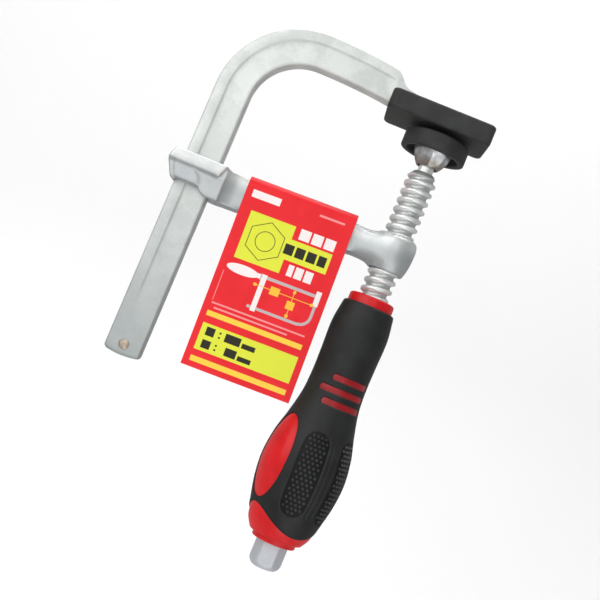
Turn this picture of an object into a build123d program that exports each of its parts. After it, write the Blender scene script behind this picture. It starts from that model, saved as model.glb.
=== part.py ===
"""F clamp: a bent flat bar with a fixed jaw, an arm that slides on the bar, and a screw spindle with a
swivelling pressure pad and a two-colour moulded handle. A printed card hangs folded over the arm.

Frame, in millimetres: the origin lies on the spindle's axis at the fixed jaw's clamping face, +Z runs up
along the spindle to the fixed jaw, and +X runs from the bar to the spindle. The bar's wide faces are
square to Y. The clamp is drawn with its jaws almost shut.
"""
import os
from math import cos, radians, sin

from build123d import *

# Bar
THROAT = 80.0  # spindle axis to the bar's inner edge
BAR_WIDTH = 15.5
BAR_THICK = 8.0
BAR_INNER_X = -THROAT
BAR_OUTER_X = BAR_INNER_X - BAR_WIDTH
BAR_END_Z = -136.3
BEND_OUTER_R = 37.5
BEND_INNER_R = 22.0
BEND_Z = -16.1  # height where the straight leg turns into the bend
BEND_OUTER_X = BAR_OUTER_X + BEND_OUTER_R
BEND_INNER_X = BAR_INNER_X + BEND_INNER_R
BAR_EDGE_R = 0.9
BAR_END_R = 1.6  # corners of the free end
CHANNEL_DEPTH = 0.7
CHANNEL_RIM = 4.8  # flat left outside the channel
CHANNEL_LIP = 1.1  # flat left inside it
CHANNEL_END_Z = -117.0
CHANNEL_END_X = -27.5

# Fixed jaw: a foot plate welded to the bar, inside a soft cap
FOOT_LEFT_X = -22.4
FOOT_RIGHT_X = 17.7
FOOT_HALF_Y = 12.7
FOOT_BOTTOM_Z = 1.8
FOOT_TOP_Z = 6.4
CAP_LEFT_X = -25.0
CAP_RIGHT_X = 20.2
CAP_HALF_Y = 15.0
CAP_TOP_Z = 8.5
CAP_CORNER_R = 3.2
CAP_EDGE_R = 0.9
CAP_LIP = 4.4  # how far the cap's upper lip reaches over the foot
CAP_SLOT_Z = 3.4  # lowest point of the slot that lets the bar in

NOSE_END_X = 12.0  # where the bar's end stops over the foot

# Stop rivet near the bar's free end
RIVET_X = -87.8
RIVET_Z = -131.7
RIVET_SHANK_R = 1.75
RIVET_HEAD_R = 2.35
RIVET_HEAD = 0.9

# Sliding arm
WINDOW_GAP = 0.35  # clearance round the bar
HEAD_TOP_Z = -47.6
HEAD_LEFT_X = -100.8
HEAD_RIGHT_X = -75.2
CHEEK_Y = 8.0
PANEL_Y = 8.5
LIP_Y = 9.4
ARM_HALF_Y = 4.75
FLARE_X = -66.9  # where the arm starts to widen into the head
FLARE_BOTTOM_Z = -62.9
BOSS_TOP_Z = -46.7
BOSS_BOTTOM_Z = -62.7
BORE_R = 6.95

# Spindle
BALL_Z = -10.1
BALL_R = 4.2
NECK_R = 3.25
NECK_BOTTOM_Z = -17.9
THREAD_BOTTOM_Z = -74.7
THREAD_PITCH = 4.0
THREAD_RUNOUT = 1.3  # plain stretch left at each end of the thread
CREST_R = 6.65
ROOT_R = 5.0
HEX_FLATS = 12.0
SPINDLE_END_Z = -193.8

# Swivel pad
JAW_GAP = 2.1
PAD_R = 14.0
PAD_TOP_Z = -JAW_GAP
PAD_BOTTOM_Z = -9.6
PAD_SKIRT_R = 11.25
DISC_R = 11.0
DISC_TOP_Z = -3.9
DISC_BOTTOM_Z = -5.3
CUP_TOP_R = 7.7
CUP_MOUTH_R = 5.1
CUP_BOTTOM_Z = -15.1
CUP_THROAT_R = 4.15  # opening round the neck, under the snap ring
SEAT_GAP = 0.2  # between the ball, the seat and ring, and the cup
SEAT_WALL = 0.9
SEAT_INNER_R = BALL_R + SEAT_GAP
SEAT_OUTER_R = SEAT_INNER_R + SEAT_WALL
SOCKET_R = SEAT_OUTER_R + SEAT_GAP

# Handle
HANDLE_TOP_Z = THREAD_BOTTOM_Z
GRIP_TOP_Z = -78.8
GRIP_BOTTOM_Z = -180.7
HANDLE_BOTTOM_Z = -182.7
COLLAR_R = 9.75
COLLAR_LOW_Z = -81.1  # where the collar meets the part under the grip
CORE_FOOT_R = 11.0  # the core's lowest turn under the grip
FLANGE_R = 9.3
GRIP_WALL = 1.6
# radius and height down the outside of the grip
GRIP_OUTLINE = [
    (11.2, -79.8), (12.4, -89.1), (12.1, -102.1), (12.0, -112.1), (12.6, -121.0), (14.8, -131.3),
    (17.1, -140.0), (18.3, -150.4), (17.6, -159.9), (16.0, -167.7), (13.9, -175.9), (11.6, -180.0),
]
RIDGE_ANGLE = 34.0  # direction of a parting ridge, as polar() counts it; the stripes are centred on it
OVAL_Z = -148.8
OVAL_HALF_TALL = 17.9
OVAL_HALF_WIDE = 9.1
STRIPE_Z = [-110.8, -116.0, -121.1]
STRIPE_HALF = [9.4, 11.2, 9.9]
STRIPE_THICK = 2.3
BASE_LOW_Z = -177.2  # lowest point of the grip's wavy lower edge
BASE_WAVE_R = 19.5
PIN_Z = -96.0
PIN_R = 1.5
PIN_BORE_R = 0.8
PIN_HALF = 9.8

# Card folded over the arm
CARD_WIDTH = 47.5
CARD_TALL = 83.0
CARD_THICK = 0.5
CARD_HALF_Y = 6.4
CARD_FOLD_R = 3.4
CARD_X = -42.2
CARD_TOP_Z = -46.0
CARD_LEAN = 1.9  # degrees, right-hand side up


def polar(radius, degrees):
    """A direction square to the spindle: 0 degrees faces -Y, 90 degrees faces +X."""
    return Vector(radius * sin(radians(degrees)), -radius * cos(radians(degrees)), 0)


def side_sketch_plane(y):
    """A plane square to Y whose local x and y are the clamp's X and Z, with its normal along -Y."""
    return Plane.XZ.offset(-y)


os.makedirs("parts", exist_ok=True)

# ---- frame_bar: leg, bend, arm and the tapered end that carries the fixed jaw
with BuildPart() as frame_bar:
    with BuildSketch(side_sketch_plane(0)):
        with BuildLine():
            leg_out = Line((BAR_OUTER_X, BAR_END_Z), (BAR_OUTER_X, BEND_Z))
            bend_out = TangentArc(leg_out @ 1, (BEND_OUTER_X, BEND_Z + BEND_OUTER_R), tangent=(0, 1))
            top = TangentArc(bend_out @ 1, (-27.4, 19.0), tangent=(1, 0))
            nose = Polyline(
                top @ 1, (-24.9, 17.8), (-22.2, 14.7), (-19.0, 12.9), (-14.6, 12.0), (NOSE_END_X, 9.3),
                (NOSE_END_X, FOOT_TOP_Z),
            )
            notch = Polyline(nose @ 1, (FOOT_LEFT_X, FOOT_TOP_Z), (FOOT_LEFT_X, 3.6))
            bend_in_top = (BEND_INNER_X, BEND_Z + BEND_INNER_R)
            under = TangentArc(bend_in_top, notch @ 1, tangent=(1, 0))
            bend_in = TangentArc(bend_in_top, (BAR_INNER_X, BEND_Z), tangent=(-1, 0))
            leg_in = Line(bend_in @ 1, (BAR_INNER_X, BAR_END_Z))
            Line(leg_in @ 1, leg_out @ 0)
        make_face()
    extrude(amount=BAR_THICK / 2, both=True)
    bottom_corners = frame_bar.edges().filter_by(Axis.Y).group_by(Axis.Z)[0]
    fillet(bottom_corners, BAR_END_R)
    fillet(frame_bar.edges().group_by(Axis.Y)[0] + frame_bar.edges().group_by(Axis.Y)[-1], BAR_EDGE_R)
    # a shallow channel rolled in both wide faces
    for side in (-1, 1):
        with BuildSketch(side_sketch_plane(side * BAR_THICK / 2)):
            with BuildLine():
                outer_x = BAR_OUTER_X + CHANNEL_RIM
                inner_x = BAR_INNER_X - CHANNEL_LIP
                up = Line((outer_x, CHANNEL_END_Z), (outer_x, BEND_Z))
                outer = TangentArc(up @ 1, (BEND_OUTER_X, BEND_Z + BEND_OUTER_R - CHANNEL_RIM), tangent=(0, 1))
                crown = TangentArc(outer @ 1, (CHANNEL_END_X - 4, 14.6), tangent=(1, 0))
                shoulder = TangentArc(crown @ 1, (CHANNEL_END_X, 10.1), tangent=crown % 1)
                drop = Line(shoulder @ 1, (CHANNEL_END_X, 5.3))
                lip_top = (BEND_INNER_X, BEND_Z + BEND_INNER_R + CHANNEL_LIP)
                TangentArc(lip_top, drop @ 1, tangent=(1, 0))
                inner = TangentArc(lip_top, (inner_x, BEND_Z), tangent=(-1, 0))
                down = Line(inner @ 1, (inner_x, CHANNEL_END_Z))
                Line(down @ 1, up @ 0)
            make_face()
        extrude(amount=side * CHANNEL_DEPTH, mode=Mode.SUBTRACT)
    with Locations(Location((RIVET_X, 0, RIVET_Z), (90, 0, 0))):
        Cylinder(RIVET_SHANK_R, BAR_THICK, mode=Mode.SUBTRACT)
frame_bar.part.label = "frame_bar"
export_step(frame_bar.part, "parts/frame_bar.step")

# ---- fixed_jaw_foot: the plate under the bar's end that takes the clamping load
with BuildPart() as fixed_jaw_foot:
    with BuildSketch(Plane.XY.offset(FOOT_BOTTOM_Z)):
        with Locations(((FOOT_LEFT_X + FOOT_RIGHT_X) / 2, 0)):
            RectangleRounded(FOOT_RIGHT_X - FOOT_LEFT_X, 2 * FOOT_HALF_Y, 2.0)
    extrude(amount=FOOT_TOP_Z - FOOT_BOTTOM_Z)
fixed_jaw_foot.part.label = "fixed_jaw_foot"
export_step(fixed_jaw_foot.part, "parts/fixed_jaw_foot.step")

# ---- fixed_jaw_cap: soft cap stretched over the foot, open on top and slotted for the bar
with BuildPart() as fixed_jaw_cap:
    cap_mid_x = (CAP_LEFT_X + CAP_RIGHT_X) / 2
    with BuildSketch(Plane.XY):
        with Locations((cap_mid_x, 0)):
            RectangleRounded(CAP_RIGHT_X - CAP_LEFT_X, 2 * CAP_HALF_Y, CAP_CORNER_R)
    extrude(amount=CAP_TOP_Z)
    fillet(fixed_jaw_cap.edges().group_by(Axis.Z)[-1], CAP_EDGE_R)
    fillet(fixed_jaw_cap.edges().group_by(Axis.Z)[0], CAP_EDGE_R)
    add(fixed_jaw_foot.part, mode=Mode.SUBTRACT)
    with BuildSketch(Plane.XY.offset(FOOT_TOP_Z)):
        with Locations(((FOOT_LEFT_X + FOOT_RIGHT_X) / 2, 0)):
            RectangleRounded(FOOT_RIGHT_X - FOOT_LEFT_X - 2 * CAP_LIP, 2 * (FOOT_HALF_Y - CAP_LIP), 2.0)
    extrude(amount=CAP_TOP_Z - FOOT_TOP_Z, mode=Mode.SUBTRACT)
    # slot in the left wall and lip for the bar
    with BuildSketch(Plane.XY.offset(CAP_SLOT_Z)):
        with Locations((FOOT_LEFT_X, 0)):
            Rectangle(2 * CAP_LIP + 2, BAR_THICK)
    extrude(amount=CAP_TOP_Z - CAP_SLOT_Z, mode=Mode.SUBTRACT)
fixed_jaw_cap.part.label = "fixed_jaw_cap"
export_step(fixed_jaw_cap.part, "parts/fixed_jaw_cap.step")

# ---- stop_rivet: peened on both faces, keeps the arm on the bar
with BuildPart() as stop_rivet:
    with Locations(Location((RIVET_X, 0, RIVET_Z), (90, 0, 0))):
        Cylinder(RIVET_SHANK_R, BAR_THICK)
    for side in (-1, 1):
        with Locations(Location((RIVET_X, side * (BAR_THICK + RIVET_HEAD) / 2, RIVET_Z), (90, 0, 0))):
            Cylinder(RIVET_HEAD_R, RIVET_HEAD)
    fillet(stop_rivet.edges().group_by(Axis.Y)[0] + stop_rivet.edges().group_by(Axis.Y)[-1], 0.6)
stop_rivet.part.label = "stop_rivet"
export_step(stop_rivet.part, "parts/stop_rivet.step")

# ---- head_band: the raised band round the head's upper edge, made first so that its edges can be rounded
with BuildPart() as head_band:
    with BuildSketch(side_sketch_plane(0)):
        with BuildLine():
            Polyline(
                (HEAD_RIGHT_X - 0.4, HEAD_TOP_Z), (HEAD_LEFT_X + 1.9, HEAD_TOP_Z), (HEAD_LEFT_X, -52.1),
                (HEAD_LEFT_X + 0.3, -53.1), (-77.9, -53.4), close=True,
            )
        make_face()
    extrude(amount=LIP_Y, both=True)
    fillet(head_band.edges().group_by(Axis.Y)[0] + head_band.edges().group_by(Axis.Y)[-1], 0.8)

# ---- sliding_arm: forged head round the bar, tapered arm and the boss that the spindle runs through
with BuildPart() as sliding_arm:
    # arm, from inside the head to inside the boss
    with BuildSketch(side_sketch_plane(0)):
        with BuildLine():
            Polyline(
                (-78.4, -48.3), (-66.0, -48.7), (-30.0, -48.7), (-8.0, -48.2), (-8.0, -61.6),
                (-30.0, -61.1), (-72.0, -63.2), (-78.4, -63.2), close=True,
            )
        make_face()
    extrude(amount=ARM_HALF_Y, both=True)
    fillet(sliding_arm.edges().filter_by(Axis.Y, reverse=True).group_by(Axis.Y)[0], 2.2)
    fillet(sliding_arm.edges().filter_by(Axis.Y, reverse=True).group_by(Axis.Y)[-1], 2.2)
    # flared root where the arm grows into the head
    with BuildSketch(Plane.XY.offset(FLARE_BOTTOM_Z)):
        with BuildLine():
            flare = Spline(
                (FLARE_X, -ARM_HALF_Y + 0.3), (-72.9, -5.9), (HEAD_RIGHT_X, -CHEEK_Y),
                tangents=[(-1, 0), (-0.35, -1)],
            )
            Polyline(flare @ 1, (-79.4, -CHEEK_Y), (-79.4, 0), (FLARE_X, 0), flare @ 0)
        make_face()
        mirror(about=Plane.XZ)
    extrude(amount=HEAD_TOP_Z - 0.7 - FLARE_BOTTOM_Z)
    # head: cheeks either side of the bar, joined by the end walls
    with BuildSketch(side_sketch_plane(0)):
        with BuildLine():
            left_side = Polyline(
                (HEAD_RIGHT_X, HEAD_TOP_Z - 0.7), (HEAD_LEFT_X + 1.9, HEAD_TOP_Z - 0.7), (HEAD_LEFT_X, -53.1),
                (-97.2, -60.2), (-95.3, -61.2), (-95.3, -59.9), (-84.6, -59.9),
            )
            step = Spline(left_side @ 1, (-83.3, -61.8), (-80.7, -62.8), tangents=[(0.2, -1), (1, -0.1)])
            Polyline(step @ 1, (HEAD_RIGHT_X, -62.7), left_side @ 0)
        make_face()
    extrude(amount=CHEEK_Y, both=True)
    # raised left panel and raised band along the top, on both faces
    with BuildSketch(side_sketch_plane(0)):
        with BuildLine():
            left_edge = Polyline((-92.3, -51.9), (-97.7, -51.9), (-97.2, -54.9), (-95.1, -59.9), (-84.8, -59.9))
            Spline(left_edge @ 1, (-85.9, -56.5), (-88.8, -54.0), left_edge @ 0, tangents=[(-0.1, 1), (-1, 0.6)])
        make_face()
    extrude(amount=PANEL_Y, both=True)
    add(head_band.part)
    # boss
    with BuildSketch(side_sketch_plane(0)):
        with BuildLine():
            barrel = Spline(
                (7.55, BOSS_TOP_Z), (9.4, -51.5), (9.1, -56.6), (7.75, BOSS_BOTTOM_Z),
                tangents=[(1, -0.5), (-0.3, -1)],
            )
            Polyline(barrel @ 1, (0, BOSS_BOTTOM_Z), (0, BOSS_TOP_Z), barrel @ 0)
        make_face()
    revolve(axis=Axis.Z)
    # window for the bar and bore for the spindle
    with BuildSketch(Plane.XY.offset(BOSS_BOTTOM_Z - 5)):
        with Locations(((BAR_OUTER_X + BAR_INNER_X) / 2, 0)):
            Rectangle(BAR_WIDTH + 2 * WINDOW_GAP, BAR_THICK + 2 * WINDOW_GAP)
        Circle(BORE_R)
    extrude(amount=30, mode=Mode.SUBTRACT)
sliding_arm.part.label = "sliding_arm"
export_step(sliding_arm.part, "parts/sliding_arm.step")

# ---- thread_rib: one right-hand helical rib from end to end of the threaded stretch
thread_length = NECK_BOTTOM_Z - THREAD_BOTTOM_Z
with BuildPart() as thread_rib:
    with BuildLine(Plane.XY.offset(THREAD_BOTTOM_Z + THREAD_RUNOUT)) as helix_line:
        Helix(THREAD_PITCH, thread_length - 2 * THREAD_RUNOUT, ROOT_R)
    helix = helix_line.line
    rib_height = CREST_R - ROOT_R
    with BuildSketch(Plane(origin=helix @ 0, x_dir=(1, 0, 0), z_dir=helix % 0)):
        with BuildLine():
            Polyline(
                (-0.4, -1.35), (rib_height * 0.5, -1.15), (rib_height, -0.7), (rib_height, 0.7),
                (rib_height * 0.5, 1.15), (-0.4, 1.35), close=True,
            )
        make_face()
    sweep(path=helix, is_frenet=True)

# ---- spindle: ball, neck, screw thread and the hexagonal shaft that carries the handle
with BuildPart() as spindle:
    with Locations((0, 0, BALL_Z)):
        Sphere(BALL_R)
        Cylinder(NECK_R, BALL_Z - NECK_BOTTOM_Z, align=(Align.CENTER, Align.CENTER, Align.MAX))
    with Locations((0, 0, NECK_BOTTOM_Z)):
        Cylinder(ROOT_R, thread_length, align=(Align.CENTER, Align.CENTER, Align.MAX))
    with BuildSketch(Plane.XY.offset(THREAD_BOTTOM_Z)):
        RegularPolygon(HEX_FLATS / 2, 6, major_radius=False)
    extrude(amount=SPINDLE_END_Z - THREAD_BOTTOM_Z)
    # the shaft's free end is turned to a cone, which leaves rounded corners on the flats
    with BuildSketch(side_sketch_plane(0)):
        with BuildLine():
            Polyline(
                (4.6, SPINDLE_END_Z), (7.6, SPINDLE_END_Z + 2.6), (7.6, SPINDLE_END_Z - 1), (4.6, SPINDLE_END_Z - 1),
                close=True,
            )
        make_face()
    revolve(axis=Axis.Z, mode=Mode.SUBTRACT)
    add(thread_rib.part)
    with Locations(Location((0, 0, PIN_Z), (90, 0, 0))):
        Cylinder(PIN_R, 2 * PIN_HALF, mode=Mode.SUBTRACT)
spindle.part.label = "spindle"
export_step(spindle.part, "parts/spindle.step")


def shell_outline(start, end):
    """Half of a section through a spherical shell round the ball's centre, between two polar angles from +Z."""
    def at(radius, angle):
        return (radius * sin(radians(angle)), BALL_Z + radius * cos(radians(angle)))

    middle = (start + end) / 2
    ThreePointArc(at(SEAT_INNER_R, start), at(SEAT_INNER_R, middle), at(SEAT_INNER_R, end))
    Line(at(SEAT_INNER_R, end), at(SEAT_OUTER_R, end))
    ThreePointArc(at(SEAT_OUTER_R, end), at(SEAT_OUTER_R, middle), at(SEAT_OUTER_R, start))
    Line(at(SEAT_OUTER_R, start), at(SEAT_INNER_R, start))


# ---- ball_seat: hard liner over the ball, and snap_ring: keeps the ball in the cup
with BuildPart() as ball_seat:
    with BuildSketch(side_sketch_plane(0)):
        with BuildLine():
            shell_outline(12, 78)
        make_face()
    revolve(axis=Axis.Z)
ball_seat.part.label = "ball_seat"
export_step(ball_seat.part, "parts/ball_seat.step")

with BuildPart() as snap_ring:
    with BuildSketch(side_sketch_plane(0)):
        with BuildLine():
            shell_outline(100, 126)
        make_face()
    revolve(axis=Axis.Z)
    # the gap that lets the ring spring open over the ball
    with Locations((SEAT_OUTER_R, 0, BALL_Z - 3)):
        Box(4.5, 1.4, 8, mode=Mode.SUBTRACT)
snap_ring.part.label = "snap_ring"
export_step(snap_ring.part, "parts/snap_ring.step")

# ---- swivel_cup: crimped steel cup round the ball, pressed into the disc above it
with BuildPart() as swivel_cup:
    with BuildSketch(side_sketch_plane(0)):
        with BuildLine():
            outside = Spline(
                (CUP_TOP_R, DISC_BOTTOM_Z), (7.5, -9.3), (6.2, -13.0), (CUP_MOUTH_R, CUP_BOTTOM_Z + 0.5),
                tangents=[(-0.1, -1), (-0.1, -1)],
            )
            Polyline(
                outside @ 1, (CUP_MOUTH_R - 0.3, CUP_BOTTOM_Z), (0, CUP_BOTTOM_Z), (0, DISC_BOTTOM_Z), outside @ 0,
            )
        make_face()
    revolve(axis=Axis.Z)
    with Locations((0, 0, BALL_Z)):
        Sphere(SOCKET_R, mode=Mode.SUBTRACT)
        Cylinder(SOCKET_R, DISC_BOTTOM_Z - BALL_Z, align=(Align.CENTER, Align.CENTER, Align.MIN), mode=Mode.SUBTRACT)
    with BuildSketch(Plane.XY.offset(CUP_BOTTOM_Z)):
        Circle(CUP_THROAT_R)
    extrude(amount=4, mode=Mode.SUBTRACT)
swivel_cup.part.label = "swivel_cup"
export_step(swivel_cup.part, "parts/swivel_cup.step")

# ---- pressure_disc: steel face plate over the cup, inside the soft cap
with BuildPart() as pressure_disc:
    with BuildSketch(Plane.XY.offset(DISC_BOTTOM_Z)):
        Circle(DISC_R)
    extrude(amount=DISC_TOP_Z - DISC_BOTTOM_Z)
    with Locations((0, 0, BALL_Z)):
        Sphere(SOCKET_R, mode=Mode.SUBTRACT)
pressure_disc.part.label = "pressure_disc"
export_step(pressure_disc.part, "parts/pressure_disc.step")

# ---- swivel_pad_cap: soft round cap over the disc, with an open skirt
with BuildPart() as swivel_pad_cap:
    with BuildSketch(Plane.XY.offset(PAD_BOTTOM_Z)):
        Circle(PAD_R)
    extrude(amount=PAD_TOP_Z - PAD_BOTTOM_Z)
    fillet(swivel_pad_cap.edges().group_by(Axis.Z)[-1], 0.9)
    with BuildSketch(Plane.XY.offset(PAD_BOTTOM_Z)):
        Circle(PAD_SKIRT_R)
    extrude(amount=DISC_BOTTOM_Z - PAD_BOTTOM_Z, mode=Mode.SUBTRACT)
    fillet(swivel_pad_cap.edges().group_by(Axis.Z)[0], 0.5)
    with BuildSketch(Plane.XY.offset(DISC_BOTTOM_Z)):
        Circle(DISC_R)
    extrude(amount=DISC_TOP_Z - DISC_BOTTOM_Z, mode=Mode.SUBTRACT)
swivel_pad_cap.part.label = "swivel_pad_cap"
export_step(swivel_pad_cap.part, "parts/swivel_pad_cap.step")

# ---- handle: the two mouldings share one outer form
with BuildPart() as handle_form:
    with BuildSketch(side_sketch_plane(0)):
        with BuildLine():
            outline = Spline(*GRIP_OUTLINE)
            Polyline(
                outline @ 1, (9.9, GRIP_BOTTOM_Z), (0, GRIP_BOTTOM_Z), (0, GRIP_TOP_Z), (10.2, GRIP_TOP_Z),
                outline @ 0,
            )
        make_face()
    revolve(axis=Axis.Z)

ridge_plane = Plane(origin=(0, 0, 0), x_dir=polar(1, RIDGE_ANGLE + 90), z_dir=polar(1, RIDGE_ANGLE))
oval_plane = Plane(origin=(0, 0, 0), x_dir=polar(1, RIDGE_ANGLE), z_dir=polar(1, RIDGE_ANGLE - 90))

# where the hard moulding shows on the outside: two ovals, six stripes and the base
with BuildPart() as hard_areas:
    with BuildSketch(oval_plane):
        with Locations((0, OVAL_Z)):
            Ellipse(OVAL_HALF_WIDE, OVAL_HALF_TALL)
    extrude(amount=30, both=True)
    with BuildSketch(ridge_plane):
        for stripe_z, half in zip(STRIPE_Z, STRIPE_HALF):
            with Locations((0, stripe_z)):
                SlotOverall(2 * half, STRIPE_THICK)
    extrude(amount=30, both=True)
    with BuildSketch(ridge_plane):
        with Locations((0, BASE_LOW_Z)):
            Rectangle(60, 2 * BASE_WAVE_R)
        with Locations((0, BASE_LOW_Z + BASE_WAVE_R)):
            Circle(BASE_WAVE_R, mode=Mode.SUBTRACT)
    extrude(amount=30, both=True)
    add(handle_form.part, mode=Mode.INTERSECT)

# ---- handle_core: hard red moulding with a hexagonal bore
with BuildPart() as handle_core:
    with BuildSketch(side_sketch_plane(0)):
        with BuildLine():
            inner = Spline(*[(r - GRIP_WALL, z) for r, z in GRIP_OUTLINE[1:-1]])
            Polyline(
                inner @ 1, (CORE_FOOT_R, GRIP_BOTTOM_Z + 1.5), (CORE_FOOT_R, GRIP_BOTTOM_Z),
                (FLANGE_R, GRIP_BOTTOM_Z), (FLANGE_R, HANDLE_BOTTOM_Z), (0, HANDLE_BOTTOM_Z), (0, HANDLE_TOP_Z),
                (COLLAR_R - 1.2, HANDLE_TOP_Z), (COLLAR_R, HANDLE_TOP_Z - 1.2), (COLLAR_R, COLLAR_LOW_Z),
                inner @ 0,
            )
        make_face()
    revolve(axis=Axis.Z)
    add(hard_areas.part)
    with BuildSketch(Plane.XY.offset(HANDLE_TOP_Z)):
        RegularPolygon(HEX_FLATS / 2, 6, major_radius=False)
    extrude(amount=HANDLE_BOTTOM_Z - HANDLE_TOP_Z, mode=Mode.SUBTRACT)
    with Locations(Location((0, 0, PIN_Z), (90, 0, 0))):
        Cylinder(PIN_R, 2 * PIN_HALF, mode=Mode.SUBTRACT)
handle_core.part.label = "handle_core"
export_step(handle_core.part, "parts/handle_core.step")

# ---- handle_grip: soft black overmoulding, the rest of the form
with BuildPart() as core_envelope:
    with BuildSketch(side_sketch_plane(0)):
        with BuildLine():
            inner = Spline(*[(r - GRIP_WALL, z) for r, z in GRIP_OUTLINE[1:-1]])
            Polyline(
                inner @ 1, (CORE_FOOT_R, GRIP_BOTTOM_Z + 1.5), (CORE_FOOT_R, GRIP_BOTTOM_Z - 1),
                (0, GRIP_BOTTOM_Z - 1), (0, GRIP_TOP_Z + 1), (COLLAR_R, GRIP_TOP_Z + 1), (COLLAR_R, COLLAR_LOW_Z),
                inner @ 0,
            )
        make_face()
    revolve(axis=Axis.Z)

with BuildPart() as handle_grip:
    add(handle_form.part)
    add(core_envelope.part, mode=Mode.SUBTRACT)
    add(hard_areas.part, mode=Mode.SUBTRACT)
handle_grip.part.label = "handle_grip"
export_step(handle_grip.part, "parts/handle_grip.step")

# ---- handle_pin: slotted spring pin through the core and the shaft, under the grip
with BuildPart() as handle_pin:
    with BuildSketch(side_sketch_plane(0)):
        with Locations((0, PIN_Z)):
            Circle(PIN_R)
            Circle(PIN_BORE_R, mode=Mode.SUBTRACT)
        with Locations((0, PIN_Z + 1.2)):
            Rectangle(0.5, 1.6, mode=Mode.SUBTRACT)
    extrude(amount=PIN_HALF, both=True)
handle_pin.part.label = "handle_pin"
export_step(handle_pin.part, "parts/handle_pin.step")

# ---- tag_card: printed card folded over the arm, both leaves hanging free
across = Vector(cos(radians(CARD_LEAN)), 0, sin(radians(CARD_LEAN)))
drawn_tall = CARD_TALL + 2 * CARD_FOLD_R
with BuildPart() as tag_card:
    with BuildSketch(Plane(origin=(CARD_X, 0, CARD_TOP_Z), x_dir=(0, 1, 0), z_dir=across)):
        # both rectangles run on below the card's lower edge, where they are cut off square
        with Locations((0, -drawn_tall / 2)):
            RectangleRounded(2 * CARD_HALF_Y, drawn_tall, CARD_FOLD_R)
        with Locations((0, -drawn_tall / 2 - CARD_THICK)):
            RectangleRounded(
                2 * (CARD_HALF_Y - CARD_THICK), drawn_tall, CARD_FOLD_R - CARD_THICK, mode=Mode.SUBTRACT,
            )
        with Locations((0, -drawn_tall)):
            Rectangle(2 * CARD_HALF_Y, 2 * (drawn_tall - CARD_TALL), mode=Mode.SUBTRACT)
    extrude(amount=CARD_WIDTH / 2, both=True)
tag_card.part.label = "tag_card"
export_step(tag_card.part, "parts/tag_card.step")
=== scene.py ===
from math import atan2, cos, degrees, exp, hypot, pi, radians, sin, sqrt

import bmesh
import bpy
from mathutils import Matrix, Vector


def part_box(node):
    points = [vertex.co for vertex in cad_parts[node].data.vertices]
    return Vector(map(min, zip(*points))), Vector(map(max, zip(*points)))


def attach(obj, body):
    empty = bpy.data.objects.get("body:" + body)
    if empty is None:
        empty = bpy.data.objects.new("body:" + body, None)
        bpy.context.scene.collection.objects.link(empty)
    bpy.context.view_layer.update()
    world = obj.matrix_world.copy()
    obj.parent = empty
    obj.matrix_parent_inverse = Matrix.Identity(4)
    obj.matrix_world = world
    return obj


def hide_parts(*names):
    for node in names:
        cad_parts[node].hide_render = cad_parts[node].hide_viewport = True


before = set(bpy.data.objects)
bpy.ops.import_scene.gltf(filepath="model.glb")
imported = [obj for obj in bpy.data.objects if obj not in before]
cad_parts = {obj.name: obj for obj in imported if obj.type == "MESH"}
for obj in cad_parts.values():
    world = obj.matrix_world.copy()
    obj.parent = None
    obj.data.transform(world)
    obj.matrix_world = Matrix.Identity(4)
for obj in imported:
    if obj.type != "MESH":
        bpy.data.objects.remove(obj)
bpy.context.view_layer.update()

# %% [markdown]
# # An F clamp, finished in Blender
#
# The clamp arrives as plain solids that are already the right size and in the right place. A bent flat
# bar carries the fixed jaw, an arm slides on the bar, and a screw spindle with a swivel pad and a
# two-colour moulded handle runs through the arm's boss. A printed card hangs folded over the arm. This
# lesson gives each piece the form and the finish that the plain solid only hints at.

MM = 0.001


def lowest(node):
    """A node's lowest corner in millimetres."""
    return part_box(node)[0] / MM


def highest(node):
    """A node's highest corner in millimetres."""
    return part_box(node)[1] / MM


# %% [markdown]
# ## The camera
#
# The clamp is seen square to the bar's wide face from a little under half a metre, close enough for the
# jaw's underside to show, and the camera is rolled so that the clamp leans to the right. Standard view
# colours are used because they keep white paper white and red print red.

# %% Camera
EYE = Vector((-11, -450, -116.25)) * MM
TARGET = Vector((-27.8, 0, -86.75)) * MM
ROLL = radians(22.6)
LENS = 65
SENSOR = 36

camera_data = bpy.data.cameras.new("camera")
camera_data.lens = LENS
camera_data.sensor_width = SENSOR
camera = bpy.data.objects.new("camera", camera_data)
bpy.context.scene.collection.objects.link(camera)
forward = (TARGET - EYE).normalized()
level = forward.cross(Vector((0, 0, 1))).normalized()
upright = level.cross(forward)
right = level * cos(ROLL) + upright * sin(ROLL)
up = upright * cos(ROLL) - level * sin(ROLL)
camera.matrix_world = Matrix.Translation(EYE) @ Matrix((right, up, -forward)).transposed().to_4x4()
bpy.context.scene.camera = camera
bpy.context.scene.view_settings.view_transform = "Standard"
print("the view is", round(degrees(camera_data.angle), 1), "degrees wide")

# %% [markdown]
# ## Sums on shader sockets
#
# A procedural finish is arithmetic: noise times a strength, one minus a mask. Written node by node it is
# hard to read, so a small class stands for one output socket and turns Python's operators into Math
# nodes. Every other node comes from its `add` method, which takes the node's type, its settings and what
# goes into its sockets.

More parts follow.
